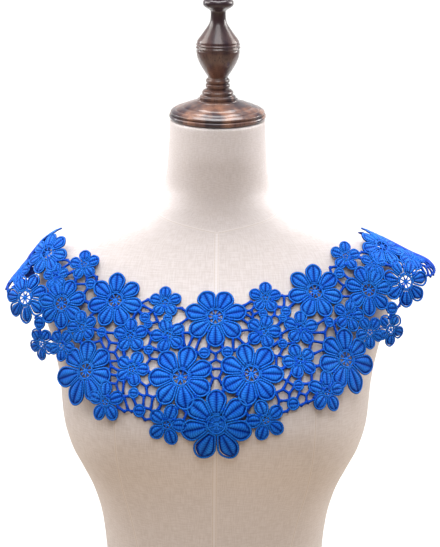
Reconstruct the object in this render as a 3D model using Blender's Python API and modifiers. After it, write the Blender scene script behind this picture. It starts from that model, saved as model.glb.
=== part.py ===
"""Guipure lace collar on a limbless dress form.

The collar is one wall of lace that lies across the chest of the form, stands off both shoulders like
a short cape sleeve, and turns over the shoulders to end behind them. The form is a linen-covered body
from hip to neck with a flat underside, a turned wooden neck cap and a turned wooden finial.

Frame: origin at the middle of the form's flat underside, +Z up, the form's front towards -Y, and +X to
the right of someone who looks at its front. Sizes are in millimetres until a mesh is built.
"""

import math
from collections import namedtuple

import bmesh
import bpy
import numpy as np
from mathutils import Vector
from mathutils.geometry import delaunay_2d_cdt

COLLECTION = "lace_collar_on_dress_form"
MM = 0.001
TAU = 2 * math.pi

# ---------------------------------------------------------------- dress form

# Horizontal sections of the form. Front, back and side are where the section lies furthest forward,
# furthest back and at its widest, along Y.
Section = namedtuple("Section", "height half_width front back side")
FORM_SECTIONS = (
    Section(0, 158, -100, 116, 8),
    Section(35, 163, -104, 122, 8),
    Section(80, 155, -102, 119, 7),
    Section(130, 130, -94, 104, 5),
    Section(175, 109, -87, 87, 3),
    Section(212, 106.5, -83, 79, 0),
    Section(245, 108.5, -84, 80, 0),
    Section(275, 112.5, -87, 85, 0),
    Section(303, 121, -91, 91, 1),
    Section(325, 132, -94, 95, 2),
    Section(345, 142.5, -97, 98, 4),
    Section(370, 149.5, -98, 101, 5),
    Section(410, 153.5, -96, 105, 7),
    Section(450, 162.5, -86, 105, 10),
    Section(475, 170, -77, 102, 11),
    Section(500, 174.5, -65, 96, 13),
    Section(514, 173.5, -58, 92, 14),
    Section(525, 168.5, -53, 88, 15),
    Section(534, 160.5, -49, 84, 16),
    Section(544, 149.5, -45, 79, 16),
    Section(554, 132, -41.5, 74, 16),
    Section(564, 106, -39, 69, 16),
    Section(574, 82, -37.5, 65, 15),
    Section(584, 63, -37, 62, 13),
    Section(594, 53, -37.5, 60, 12),
    Section(606, 49.6, -38.5, 57, 9),
    Section(630, 47, -40.3, 53.3, 7),
    Section(661.5, 45.4, -40, 51, 5.5),
)
FORM_ROUNDNESS = 2.15
FORM_EDGE_ROUNDING = 2

# The bust's rise over the sections. Its valley is the share of it that is lost on the centre line.
BUST_HEIGHT = 386
BUST_ACROSS = 72
BUST_RISE = 22
BUST_SPREAD = 40
BUST_SPREAD_OF_LACE = 56
BUST_DROP_BELOW = 36
BUST_DROP_ABOVE = 45
BUST_VALLEY = 0.18
BUST_SIDE_FADE = 0.35

# The neck's top is cut square to a neck that leans forward.
NECK_LEAN_DEG = 12.5
NECK_LEAN_FROM = 602
NECK_TOP = 661.5
NECK_TOP_CENTRE_Y = 5.5

# ---------------------------------------------------------------- neck cap and finial

# Radius and height above the neck's cut top, along the leaning axis, from the lowest point up.
Turned = namedtuple("Turned", "radius height")
CAP_PROFILE = (
    Turned(44.0, 0.3),
    Turned(45.8, 1.1),
    Turned(46.4, 2.7),
    Turned(45.8, 4.3),
    Turned(44.2, 5.0),
    Turned(45.0, 5.7),
    Turned(45.0, 6.8),
    Turned(43.6, 8.0),
    Turned(41.0, 9.3),
    Turned(40.2, 9.2),
    Turned(39.4, 9.9),
    Turned(35.2, 11.7),
    Turned(33.4, 12.0),
    Turned(32.4, 12.8),
    Turned(26.8, 14.9),
    Turned(20.2, 17.0),
    Turned(19.4, 17.7),
    Turned(19.2, 18.6),
)
FINIAL_PROFILE = (
    Turned(17.0, 18.9),
    Turned(17.2, 19.8),
    Turned(17.0, 21.4),
    Turned(15.4, 22.2),
    Turned(14.8, 23.2),
    Turned(14.9, 25.0),
    Turned(13.9, 26.8),
    Turned(11.8, 28.0),
    Turned(10.2, 28.7),
    Turned(11.2, 29.8),
    Turned(11.6, 31.4),
    Turned(11.2, 33.0),
    Turned(9.9, 33.8),
    Turned(11.0, 34.8),
    Turned(11.4, 36.2),
    Turned(10.8, 37.6),
    Turned(9.3, 39.4),
    Turned(10.4, 41.6),
    Turned(13.0, 45.4),
    Turned(15.6, 49.8),
    Turned(18.1, 54.6),
    Turned(19.9, 60.0),
    Turned(20.4, 64.4),
    Turned(19.9, 66.2),
    Turned(21.0, 67.5),
    Turned(20.0, 69.0),
    Turned(20.8, 70.3),
    Turned(19.9, 71.5),
    Turned(19.8, 72.8),
    Turned(18.6, 75.0),
    Turned(15.9, 78.6),
    Turned(13.2, 82.3),
    Turned(10.6, 86.0),
    Turned(8.3, 89.8),
    Turned(7.3, 93.4),
    Turned(7.0, 98.6),
    Turned(7.2, 100.8),
    Turned(8.8, 102.6),
    Turned(12.2, 104.6),
    Turned(14.0, 106.5),
    Turned(14.3, 108.4),
    Turned(13.7, 110.4),
    Turned(11.8, 111.8),
    Turned(7.2, 113.0),
    Turned(6.8, 114.6),
    Turned(8.8, 117.2),
    Turned(10.4, 120.6),
    Turned(10.6, 124.0),
    Turned(9.2, 128.0),
    Turned(6.2, 131.2),
    Turned(3.0, 132.6),
    Turned(0.0, 133.0),
)
TURNED_SEGMENTS = 24

# ---------------------------------------------------------------- lace

LACE_THICKNESS = 1.6
LACE_CLEARANCE = 0.8
LACE_ROUNDNESS_AT_SHOULDER = 2.6

# How far the lace stands out beyond the form's sides, by height, on the right and on the left. It fades
# in from the chest to the sides and out again behind the shoulders.
Wing = namedtuple("Wing", "height right left")
WINGS = (
    Wing(360, 0, 0),
    Wing(400, 6, 13),
    Wing(430, 14, 20),
    Wing(450, 22, 25),
    Wing(470, 29, 29),
    Wing(490, 34, 32),
    Wing(503, 37, 25),
    Wing(514, 40, 17),
    Wing(523, 38, 13.5),
    Wing(530, 28.5, 14),
    Wing(538, 20.5, 15.5),
    Wing(547, 13, 16.5),
    Wing(557, 8, 12),
    Wing(572, 2, 3),
)
WING_FADE_DEG = (38, 72)
WING_BACK_FADE_DEG = (100, 135)

# The collar hangs a little askew: its right arm is the higher one, but for the ends of the arms, and its
# fold leans to the right towards its foot.
ASKEW_RISE = 0.049
ASKEW_FADE = (515, 560)
ASKEW_LEAN = 0.02
ASKEW_LEAN_HEIGHT = 465

# One half of the collar, seen from the front: each flower's middle, the length of its petals from there,
# how many it has, and where the first one points, anticlockwise from +X. Flowers at 0 across lie on the
# fold between the halves. A flower behind the shoulder is given as if seen through the form.
Flower = namedtuple("Flower", "name across height reach petals first_deg behind", defaults=(False,))
FLOWERS = (
    Flower("throat_daisy", 0, 482, 29, 7, -90),
    Flower("foot_daisy", 0, 393.5, 33, 7, 90),
    Flower("heart_daisy", 31.4, 433.4, 30, 7, 0),
    Flower("neckline_daisy", 92, 498.3, 27, 7, 94),
    Flower("bust_daisy", 118.8, 437, 29, 7, 188),
    Flower("arm_daisy", 143.3, 495.5, 25, 7, -90),
    Flower("wing_daisy", 180.1, 500, 25, 7, -90),
    Flower("shoulder_daisy", 159.5, 536.2, 23, 7, 180),
    Flower("neckline_blossom", 45.8, 496, 15.5, 5, 90),
    Flower("inner_blossom", 43.1, 467.8, 17, 5, 0),
    Flower("middle_blossom", 77.3, 468.3, 17, 5, 90),
    Flower("lower_blossom", 75.2, 440.7, 17, 5, 114),
    Flower("edge_blossom", 99.5, 412.4, 20, 5, 90),
    Flower("foot_blossom", 43.7, 394.6, 19, 5, 180),
    Flower("collarbone_blossom", 122.4, 528.5, 15.5, 5, 90),
    Flower("arm_blossom", 149.7, 519.2, 14, 5, 90),
    Flower("wing_blossom", 164, 457.6, 16.5, 5, -90),
    Flower("side_blossom", 123, 475, 16, 5, 0),
    Flower("hanging_blossom", 143, 458, 16, 5, -90),
    Flower("ridge_blossom", 175, 546.5, 16, 5, 90),
    Flower("back_daisy", 149, 527, 21, 7, 90, True),
    Flower("back_wing_blossom", 183, 521, 16, 5, 90, True),
    Flower("back_neck_blossom", 138, 535, 15, 5, 90, True),
    Flower("back_end_blossom", 163, 508, 15, 5, -90, True),
)
# The flowers that the edge of the net runs through, from the top of the fold, round the arm, to its foot.
NET_EDGE = (
    "throat_daisy",
    "neckline_blossom",
    "neckline_daisy",
    "collarbone_blossom",
    "shoulder_daisy",
    "ridge_blossom",
    "back_neck_blossom",
    "back_daisy",
    "back_end_blossom",
    "back_wing_blossom",
    "wing_daisy",
    "wing_blossom",
    "hanging_blossom",
    "bust_daisy",
    "edge_blossom",
    "foot_blossom",
    "foot_daisy",
)

# A petal's edge, from the notch before it: where each point lies between this petal's line at 0 and the
# next one's at 1, and how far out, as a share of the petal's reach.
EdgePoint = namedtuple("EdgePoint", "turn length")
PETAL_SIDE = {
    7: (EdgePoint(-0.5, 0.5), EdgePoint(-0.34, 0.78), EdgePoint(-0.2, 0.93)),
    5: (EdgePoint(-0.5, 0.46), EdgePoint(-0.34, 0.8), EdgePoint(-0.18, 0.95)),
}

# ---------------------------------------------------------------- fineness

FORM_SEGMENTS = 52
FORM_LEVELS = 42
LACE_GRID = 8.5
LACE_EDGE_STEP = 2.2
WALK_STEP = 3
ANGLE_ROUNDS = 8
ON_LACE_SAMPLES = 400
LEAST_FACING = 1e-9

# The lace is drawn flat, at this many millimetres for each radian round the form, and with the sloping
# shoulders stretched above a height, before it is laid over the form.
UNROLL_RADIUS = 165
SHOULDER_HEIGHT = 522
SHOULDER_STRETCH = 0.9


# ---------------------------------------------------------------- shapes of the form and of the lace


def curve_through(places, values, wanted):
    """A smooth curve through the values at the places, which never overshoots them, read where wanted."""
    places = np.asarray(places, float)
    values = np.asarray(values, float)
    wanted = np.asarray(wanted, float)
    span = np.diff(places)
    slope = np.diff(values) / span
    tangent = np.zeros_like(values)
    tangent[0] = slope[0]
    tangent[-1] = slope[-1]
    before = 2 * span[1:] + span[:-1]
    after = span[1:] + 2 * span[:-1]
    turning = slope[:-1] * slope[1:] <= 0
    steep = np.where(turning, 1, slope[:-1])
    steep_next = np.where(turning, 1, slope[1:])
    tangent[1:-1] = np.where(turning, 0, (before + after) / (before / steep + after / steep_next))
    i = np.clip(np.searchsorted(places, wanted) - 1, 0, len(places) - 2)
    t = np.clip((wanted - places[i]) / span[i], 0, 1)
    start = (1 + 2 * t) * (1 - t) ** 2 * values[i] + t * (1 - t) ** 2 * span[i] * tangent[i]
    end = t * t * (3 - 2 * t) * values[i + 1] + t * t * (t - 1) * span[i] * tangent[i + 1]
    return start + end


def read(rows, column, height):
    return curve_through([row.height for row in rows], [getattr(row, column) for row in rows], height)


def eased(low, high, value):
    """0 below low, 1 above high and a smooth step between them."""
    t = np.clip((value - low) / (high - low), 0, 1)
    return t * t * (3 - 2 * t)


def bust(across, height, lace):
    """How far the bust stands forward. Stiff lace spans its valley and falls away from it more gently."""
    off_centre = np.abs(across)
    valley = 0 if lace else BUST_VALLEY
    spread = BUST_SPREAD_OF_LACE if lace else BUST_SPREAD
    inner = 1 - valley * (1 - np.clip(off_centre / BUST_ACROSS, 0, 1) ** 2) ** 2
    outer = np.exp(-0.5 * ((off_centre - BUST_ACROSS) / spread) ** 2)
    rise = height - BUST_HEIGHT
    drop = np.where(rise > 0, BUST_DROP_ABOVE, BUST_DROP_BELOW)
    return BUST_RISE * np.where(off_centre < BUST_ACROSS, inner, outer) * np.exp(-0.5 * (rise / drop) ** 2)


def wing(angle, height):
    """How far the lace stands out beyond the form's side, at an angle round the form."""
    stand_off = np.where(angle > 0, read(WINGS, "right", height), read(WINGS, "left", height))
    degrees = np.degrees(np.abs(angle))
    return stand_off * eased(*WING_FADE_DEG, degrees) * (1 - eased(*WING_BACK_FADE_DEG, degrees))


def section_at(angle, height, lace):
    """Half width, depth, side line and roundness of the section that a point lies on."""
    half_width = read(FORM_SECTIONS, "half_width", height)
    front = read(FORM_SECTIONS, "front", height)
    back = read(FORM_SECTIONS, "back", height)
    side = read(FORM_SECTIONS, "side", height)
    depth = np.where(np.cos(angle) > 0, side - front, back - side)
    if not lace:
        return half_width, depth, side, FORM_ROUNDNESS
    squarer = (LACE_ROUNDNESS_AT_SHOULDER - FORM_ROUNDNESS) * np.sin(angle) ** 2
    clear = LACE_CLEARANCE
    return half_width + clear + wing(angle, height), depth + clear, side, FORM_ROUNDNESS + squarer


def surface_point(angle, height, lace=False):
    """Points of the form, or of the inner face of the lace, at angles round the form from its front."""
    half_width, depth, side, roundness = section_at(angle, height, lace)
    sine = np.abs(np.sin(angle))
    cosine = np.abs(np.cos(angle))
    reach = (sine**roundness + cosine**roundness) ** (-1 / roundness)
    x = half_width * reach * np.sin(angle)
    y = side - depth * reach * np.cos(angle)
    y = y - bust(x, height, lace) * eased(0, BUST_SIDE_FADE, np.cos(angle))
    return np.stack(np.broadcast_arrays(x, y, height), axis=-1)


def lace_angle(points):
    """The angle round the form of points on or near the lace."""
    x, y, height = points.T
    angle = np.arctan2(x, -y)
    for _ in range(ANGLE_ROUNDS):
        half_width, depth, side, _ = section_at(angle, height, True)
        level = y + bust(x, height, True) * eased(0, BUST_SIDE_FADE, np.cos(angle))
        angle = np.arctan2(x / half_width, (side - level) / depth)
    return angle


def lace_normal(angle, height):
    """The lace's outward direction."""
    small = 0.002
    along = surface_point(angle + small, height, True) - surface_point(angle - small, height, True)
    small = 0.3
    up = surface_point(angle, height + small, True) - surface_point(angle, height - small, True)
    normal = np.cross(along, up)
    return normal / np.linalg.norm(normal, axis=-1, keepdims=True)


def settled(points):
    """Points near the lace, moved on to it, and its outward direction there."""
    for _ in range(2):
        angle = lace_angle(points)
        height = points[:, 2]
        normal = lace_normal(angle, height)
        off = ((points - surface_point(angle, height, True)) * normal).sum(axis=1, keepdims=True)
        points = points - normal * off
    return points, normal


def walked(start, normal, heading, turns, lengths):
    """The ends of walks over the lace from one point, each at its own turn from the heading and length."""
    sideways = np.cross(normal, heading)
    headings = np.outer(np.cos(turns), heading) + np.outer(np.sin(turns), sideways)
    points = np.repeat(start[None], len(turns), axis=0)
    steps = math.ceil(lengths.max() / WALK_STEP)
    for _ in range(steps):
        points, normals = settled(points + headings * (lengths / steps)[:, None])
        headings = headings - normals * (headings * normals).sum(axis=1, keepdims=True)
        headings = headings / np.linalg.norm(headings, axis=1, keepdims=True)
    return points


# ---------------------------------------------------------------- the collar's outline


def unrolled(points):
    """Points of the lace as flat coordinates: round the form, and up, with sloping shoulders stretched."""
    height = points[:, 2]
    up = height + SHOULDER_STRETCH * np.maximum(height - SHOULDER_HEIGHT, 0)
    return np.stack([lace_angle(points) * UNROLL_RADIUS, up], axis=-1)


def rolled(flat):
    up = flat[:, 1]
    height = up - np.maximum(up - SHOULDER_HEIGHT, 0) * SHOULDER_STRETCH / (1 + SHOULDER_STRETCH)
    return surface_point(flat[:, 0] / UNROLL_RADIUS, height, True)


def hung(flower, mirror):
    """A flower of one half of the collar, as (across, height, direction of its first petal)."""
    across = -flower.across if mirror else flower.across
    first = 180 - flower.first_deg if mirror else flower.first_deg
    rise = ASKEW_RISE * across * (1 - eased(*ASKEW_FADE, flower.height))
    lean = ASKEW_LEAN * (flower.height - ASKEW_LEAN_HEIGHT)
    return across - lean, flower.height + rise, math.radians(first)


def on_lace(across, height, behind):
    """The point of the lace's front, or of its back, at a distance from the middle and a height."""
    first, last = (math.pi / 2, math.pi) if behind else (0, math.pi / 2)
    angles = np.linspace(first, last, ON_LACE_SAMPLES) * math.copysign(1, across)
    x = surface_point(angles, np.full_like(angles, height), True)[:, 0]
    order = np.argsort(x)
    angle = np.interp(across, x[order], angles[order])
    place = np.array([angle]), np.array([height])
    return surface_point(*place, True)[0], lace_normal(*place)[0]


def flower_outline(flower, mirror):
    """The petals' edge all round a flower, as flat coordinates."""
    across, height, first = hung(flower, mirror)
    middle, normal = on_lace(across, height, flower.behind)
    heading = np.array([math.cos(first), 0, math.sin(first)])
    facing = normal[1] if abs(normal[1]) > LEAST_FACING else -LEAST_FACING
    heading[1] = -(normal[0] * heading[0] + normal[2] * heading[2]) / facing
    heading /= np.linalg.norm(heading)
    step = TAU / flower.petals
    rising = PETAL_SIDE[flower.petals]
    falling = [EdgePoint(-point.turn, point.length) for point in reversed(rising[1:])]
    edge = [*rising, EdgePoint(0, 1), *falling]
    turns = []
    lengths = []
    for petal in range(flower.petals):
        for point in edge:
            turns.append((petal + point.turn) * step)
            lengths.append(point.length * flower.reach)
    return unrolled(walked(middle, normal, heading, np.array(turns), np.array(lengths)))


def net_outline():
    """The edge of the lace's net, through the middles of the flowers along the collar's edge."""
    named = {flower.name: flower for flower in FLOWERS}
    down = [named[name] for name in NET_EDGE]
    up = down[-2:0:-1]
    centres = []
    for flower, mirror in [(flower, False) for flower in down] + [(flower, True) for flower in up]:
        across, height, _ = hung(flower, mirror)
        centres.append(on_lace(across, height, flower.behind)[0])
    return unrolled(np.array(centres))


def outer_edge(outlines):
    """The one loop round everything that overlapping outlines cover."""
    points = []
    faces = []
    for outline in outlines:
        faces.append(list(range(len(points), len(points) + len(outline))))
        points.extend(Vector(point) for point in outline)
    met, _, triangles, _, _, _ = delaunay_2d_cdt(points, [], faces, 1, 1e-4)
    following = {}
    sides = {(a, b) for face in triangles for a, b in zip(face, face[1:] + face[:1])}
    for a, b in sides:
        if (b, a) not in sides:
            following.setdefault(a, []).append(b)
    loops = []
    while following:
        here = next(iter(following))
        loop = []
        while here in following:
            loop.append(here)
            ahead = following[here].pop()
            if not following[here]:
                del following[here]
            here = ahead
        loops.append(np.array([met[i] for i in loop]))
    return max(loops, key=lambda loop: np.ptp(loop[:, 0]))


def evened(loop):
    """The loop with close points dropped and long sides divided, so that it can bend with the form."""
    kept = [loop[0]]
    for point in loop[1:]:
        side = point - kept[-1]
        length = np.linalg.norm(side)
        if length < LACE_EDGE_STEP:
            continue
        parts = math.ceil(length / LACE_GRID)
        kept.extend(kept[-1] + side * np.arange(1, parts + 1)[:, None] / parts)
    return np.array(kept)


def inside(loop, points):
    """Which points lie inside the loop and no nearer to it than half a grid step."""
    following = np.roll(loop, -1, axis=0)
    found = np.zeros(len(points), bool)
    nearest = np.full(len(points), np.inf)
    for start, end in zip(loop, following):
        crosses = (start[1] > points[:, 1]) != (end[1] > points[:, 1])
        rise = end[1] - start[1] or 1e-9
        at = start[0] + (points[:, 1] - start[1]) * (end[0] - start[0]) / rise
        found ^= crosses & (points[:, 0] < at)
        along = end - start
        share = np.clip(((points - start) @ along) / (along @ along), 0, 1)
        gap = np.linalg.norm(points - (start + share[:, None] * along), axis=1)
        nearest = np.minimum(nearest, gap)
    return found & (nearest > LACE_GRID / 2)


def wall_triangles(loop):
    """The area inside the loop as triangles, with a regular grid of points inside it."""
    low = loop.min(axis=0)
    high = loop.max(axis=0)
    row_step = LACE_GRID * math.sqrt(3) / 2
    grid = []
    for row in range(math.ceil((high[1] - low[1]) / row_step)):
        shift = LACE_GRID / 2 * (row % 2)
        for place in range(math.ceil((high[0] - low[0]) / LACE_GRID)):
            grid.append((low[0] + shift + place * LACE_GRID, low[1] + row * row_step))
    grid = np.array(grid)
    points = np.concatenate([loop, grid[inside(loop, grid)]])
    around = [list(range(len(loop)))]
    met, _, triangles, _, _, _ = delaunay_2d_cdt([Vector(p) for p in points], [], around, 1, 1e-4)
    return np.array([tuple(point) for point in met]), triangles


# ---------------------------------------------------------------- making the objects


def material(name, colour, roughness):
    made = bpy.data.materials.new(name)
    made.use_nodes = True
    shader = made.node_tree.nodes["Principled BSDF"]
    shader.inputs["Base Color"].default_value = (*colour, 1)
    shader.inputs["Roughness"].default_value = roughness
    shader.inputs["Metallic"].default_value = 0
    made.diffuse_color = (*colour, 1)
    return made


def add_object(name, mesh, collection, finish, sharp_deg=40):
    mesh.materials.append(finish)
    mesh.shade_smooth()
    mesh.set_sharp_from_angle(angle=math.radians(sharp_deg))
    made = bpy.data.objects.new(name, mesh)
    collection.objects.link(made)
    return made


def mesh_of(name, shape):
    mesh = bpy.data.meshes.new(name)
    shape.to_mesh(mesh)
    shape.free()
    return mesh


def form_heights():
    """Heights of the form's rings, evenly spaced along its side line, so that the shoulders get enough."""
    heights = np.linspace(0, NECK_TOP, 1200)
    widths = read(FORM_SECTIONS, "half_width", heights)
    run = np.concatenate([[0], np.cumsum(np.hypot(np.diff(heights), np.diff(widths)))])
    return np.interp(np.linspace(0, run[-1], FORM_LEVELS + 1), run, heights)


def build_form(collection):
    """A grid wrapped round the sections, closed behind and capped at both ends."""
    shape = bmesh.new()
    bmesh.ops.create_grid(shape, x_segments=FORM_SEGMENTS, y_segments=FORM_LEVELS, size=1)
    vertices = list(shape.verts)
    flat = np.array([vertex.co[:] for vertex in vertices])
    heights = form_heights()[np.rint((flat[:, 1] + 1) / 2 * FORM_LEVELS).astype(int)]
    places = surface_point(flat[:, 0] * math.pi, heights)
    lean = math.tan(math.radians(NECK_LEAN_DEG)) * eased(NECK_LEAN_FROM, NECK_TOP, heights)
    places[:, 2] += (places[:, 1] - NECK_TOP_CENTRE_Y) * lean
    for vertex, place in zip(vertices, places):
        vertex.co = Vector(place * MM)
    bmesh.ops.remove_doubles(shape, verts=shape.verts, dist=1e-6)
    open_edges = [edge for edge in shape.edges if edge.is_boundary]
    bmesh.ops.holes_fill(shape, edges=open_edges)
    bmesh.ops.recalc_face_normals(shape, faces=shape.faces)
    bmesh.ops.bevel(
        shape,
        geom=open_edges,
        offset=FORM_EDGE_ROUNDING * MM,
        offset_type="OFFSET",
        segments=2,
        profile=0.5,
        affect="EDGES",
    )
    linen = material("linen", (0.80, 0.72, 0.64), 0.9)
    return add_object("form_body", mesh_of("form_body", shape), collection, linen)


def turned_piece(name, profile, collection, finish, parent):
    """A profile from the axis down its outer side and back to the axis, turned round the axis."""
    outer = [(row.radius, row.height) for row in reversed(profile)]
    ends = [(0, outer[0][1])] if outer[0][0] else []
    shape = bmesh.new()
    points = [shape.verts.new((radius * MM, 0, height * MM)) for radius, height in ends + outer]
    points.append(shape.verts.new((0, 0, outer[-1][1] * MM)))
    for upper, lower in zip(points, points[1:]):
        shape.edges.new((upper, lower))
    made = add_object(name, mesh_of(name, shape), collection, finish)
    turning = made.modifiers.new("turned", "SCREW")
    turning.angle = TAU
    turning.steps = TURNED_SEGMENTS
    turning.render_steps = TURNED_SEGMENTS
    turning.use_merge_vertices = True
    turning.merge_threshold = 0.00001
    turning.use_smooth_shade = True
    made.parent = parent
    return made


def build_turned_pieces(collection):
    """The neck cap and the finial, square to the neck's leaning top."""
    neck_top = bpy.data.objects.new("neck_top", None)
    neck_top.location = Vector((0, NECK_TOP_CENTRE_Y, NECK_TOP)) * MM
    neck_top.rotation_euler.x = math.radians(NECK_LEAN_DEG)
    collection.objects.link(neck_top)
    wood = material("dark_wood", (0.09, 0.03, 0.02), 0.3)
    turned_piece("neck_cap", CAP_PROFILE, collection, wood, neck_top)
    turned_piece("finial", FINIAL_PROFILE, collection, wood, neck_top)


def build_collar(collection):
    """The collar's wall: its outline filled with triangles, laid over the form and given its thickness."""
    outlines = [net_outline()]
    for flower in FLOWERS:
        outlines.append(flower_outline(flower, False))
        if flower.across:
            outlines.append(flower_outline(flower, True))
    flat, triangles = wall_triangles(evened(outer_edge(outlines)))
    shape = bmesh.new()
    vertices = [shape.verts.new(place * MM) for place in rolled(flat)]
    for triangle in triangles:
        shape.faces.new([vertices[corner] for corner in triangle])
    lace = material("lace", (0.0, 0.09, 0.78), 0.55)
    made = add_object("lace_collar", mesh_of("lace_collar", shape), collection, lace, 60)
    wall = made.modifiers.new("wall", "SOLIDIFY")
    wall.thickness = LACE_THICKNESS * MM
    wall.offset = 1
    return made


def main():
    for old in list(bpy.data.objects):
        bpy.data.objects.remove(old, do_unlink=True)
    collection = bpy.data.collections.new(COLLECTION)
    bpy.context.scene.collection.children.link(collection)
    build_form(collection)
    build_turned_pieces(collection)
    build_collar(collection)


main()
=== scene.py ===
"""Guipure lace collar on a limbless dress form: its threads, linen cover, turned wood and studio.

The collar is satin-stitched daisies, blossoms and discs joined by a net of thin cords, laid over the
chest and shoulders of the form. Frame: +Z up, the form's front towards -Y, metres. Sizes in the tables
are in millimetres until a mesh is built.
"""

import math
import random
from collections import namedtuple
from functools import lru_cache

import bmesh
import bpy
import numpy as np
from bpy.props import FloatProperty, FloatVectorProperty, IntProperty, PointerProperty
from mathutils import Matrix, Vector
from mathutils.geometry import delaunay_2d_cdt


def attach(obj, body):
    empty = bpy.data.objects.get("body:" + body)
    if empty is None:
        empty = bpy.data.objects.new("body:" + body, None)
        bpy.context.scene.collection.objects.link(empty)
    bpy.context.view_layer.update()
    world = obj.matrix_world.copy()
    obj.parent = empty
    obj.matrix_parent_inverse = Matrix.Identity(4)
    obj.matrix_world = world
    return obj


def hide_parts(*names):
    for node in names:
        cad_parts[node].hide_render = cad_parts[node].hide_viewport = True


bl_info = {
    "name": "Lace Collar on a Dress Form",
    "version": (1, 0, 0),
    "blender": (4, 5, 0),
    "location": "3D View > Sidebar > Lace Collar",
    "description": "Guipure lace collar of daisies and blossoms on a linen dress form with turned wood",
    "category": "Object",
}

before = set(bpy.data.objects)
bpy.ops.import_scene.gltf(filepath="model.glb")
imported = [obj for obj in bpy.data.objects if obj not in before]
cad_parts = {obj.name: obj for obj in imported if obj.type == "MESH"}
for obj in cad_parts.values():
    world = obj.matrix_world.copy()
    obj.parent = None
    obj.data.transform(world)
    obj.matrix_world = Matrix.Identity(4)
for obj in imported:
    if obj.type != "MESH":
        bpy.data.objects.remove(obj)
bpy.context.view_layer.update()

MM = 0.001
TAU = 2 * math.pi
# Points this near each other, in metres, are merged.
CLOSE = 1e-6

# ---------------------------------------------------------------- tables that agree with the solids

# The form's cross-sections: half its width, and how far back its front, back and side lines lie.
Section = namedtuple("Section", "height half_width front back side")
FORM_SECTIONS = (
    Section(0, 158, -100, 116, 8),
    Section(35, 163, -104, 122, 8),
    Section(80, 155, -102, 119, 7),
    Section(130, 130, -94, 104, 5),
    Section(175, 109, -87, 87, 3),
    Section(212, 106.5, -83, 79, 0),
    Section(245, 108.5, -84, 80, 0),
    Section(275, 112.5, -87, 85, 0),
    Section(303, 121, -91, 91, 1),
    Section(325, 132, -94, 95, 2),
    Section(345, 142.5, -97, 98, 4),
    Section(370, 149.5, -98, 101, 5),
    Section(410, 153.5, -96, 105, 7),
    Section(450, 162.5, -86, 105, 10),
    Section(475, 170, -77, 102, 11),
    Section(500, 174.5, -65, 96, 13),
    Section(514, 173.5, -58, 92, 14),
    Section(525, 168.5, -53, 88, 15),
    Section(534, 160.5, -49, 84, 16),
    Section(544, 149.5, -45, 79, 16),
    Section(554, 132, -41.5, 74, 16),
    Section(564, 106, -39, 69, 16),
    Section(574, 82, -37.5, 65, 15),
    Section(584, 63, -37, 62, 13),
    Section(594, 53, -37.5, 60, 12),
    Section(606, 49.6, -38.5, 57, 9),
    Section(630, 47, -40.3, 53.3, 7),
    Section(661.5, 45.4, -40, 51, 5.5),
)
# The power that rounds the sections, where 2 gives an ellipse, and the rounding of the cut edges.
FORM_ROUNDNESS = 2.15
FORM_EDGE_ROUNDING = 2

# The bust's points: their height, their distance from the middle and how far forward they stand. Then how
# the rise spreads sideways, down and up, the valley between them, and where it dies away at the sides.
BUST_HEIGHT = 386
BUST_ACROSS = 72
BUST_RISE = 22
BUST_SPREAD = 40
BUST_SPREAD_OF_LACE = 56
BUST_DROP_BELOW = 36
BUST_DROP_ABOVE = 45
BUST_VALLEY = 0.18
BUST_SIDE_FADE = 0.35

# The neck's rings tilt forward, more and more from one height up to the cut top.
NECK_LEAN_DEG = 12.5
NECK_LEAN_FROM = 602
NECK_TOP = 661.5
NECK_TOP_CENTRE_Y = 5.5

# Outlines of the cap and of the finial, up from the neck's cut top.
Turned = namedtuple("Turned", "radius height")
CAP_PROFILE = (
    Turned(44.0, 0.3),
    Turned(45.8, 1.1),
    Turned(46.4, 2.7),
    Turned(45.8, 4.3),
    Turned(44.2, 5.0),
    Turned(45.0, 5.7),
    Turned(45.0, 6.8),
    Turned(43.6, 8.0),
    Turned(41.0, 9.3),
    Turned(40.2, 9.2),
    Turned(39.4, 9.9),
    Turned(35.2, 11.7),
    Turned(33.4, 12.0),
    Turned(32.4, 12.8),
    Turned(26.8, 14.9),
    Turned(20.2, 17.0),
    Turned(19.4, 17.7),
    Turned(19.2, 18.6),
)
FINIAL_PROFILE = (
    Turned(17.0, 18.9),
    Turned(17.2, 19.8),
    Turned(17.0, 21.4),
    Turned(15.4, 22.2),
    Turned(14.8, 23.2),
    Turned(14.9, 25.0),
    Turned(13.9, 26.8),
    Turned(11.8, 28.0),
    Turned(10.2, 28.7),
    Turned(11.2, 29.8),
    Turned(11.6, 31.4),
    Turned(11.2, 33.0),
    Turned(9.9, 33.8),
    Turned(11.0, 34.8),
    Turned(11.4, 36.2),
    Turned(10.8, 37.6),
    Turned(9.3, 39.4),
    Turned(10.4, 41.6),
    Turned(13.0, 45.4),
    Turned(15.6, 49.8),
    Turned(18.1, 54.6),
    Turned(19.9, 60.0),
    Turned(20.4, 64.4),
    Turned(19.9, 66.2),
    Turned(21.0, 67.5),
    Turned(20.0, 69.0),
    Turned(20.8, 70.3),
    Turned(19.9, 71.5),
    Turned(19.8, 72.8),
    Turned(18.6, 75.0),
    Turned(15.9, 78.6),
    Turned(13.2, 82.3),
    Turned(10.6, 86.0),
    Turned(8.3, 89.8),
    Turned(7.3, 93.4),
    Turned(7.0, 98.6),
    Turned(7.2, 100.8),
    Turned(8.8, 102.6),
    Turned(12.2, 104.6),
    Turned(14.0, 106.5),
    Turned(14.3, 108.4),
    Turned(13.7, 110.4),
    Turned(11.8, 111.8),
    Turned(7.2, 113.0),
    Turned(6.8, 114.6),
    Turned(8.8, 117.2),
    Turned(10.4, 120.6),
    Turned(10.6, 124.0),
    Turned(9.2, 128.0),
    Turned(6.2, 131.2),
    Turned(3.0, 132.6),
    Turned(0.0, 133.0),
)

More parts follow.
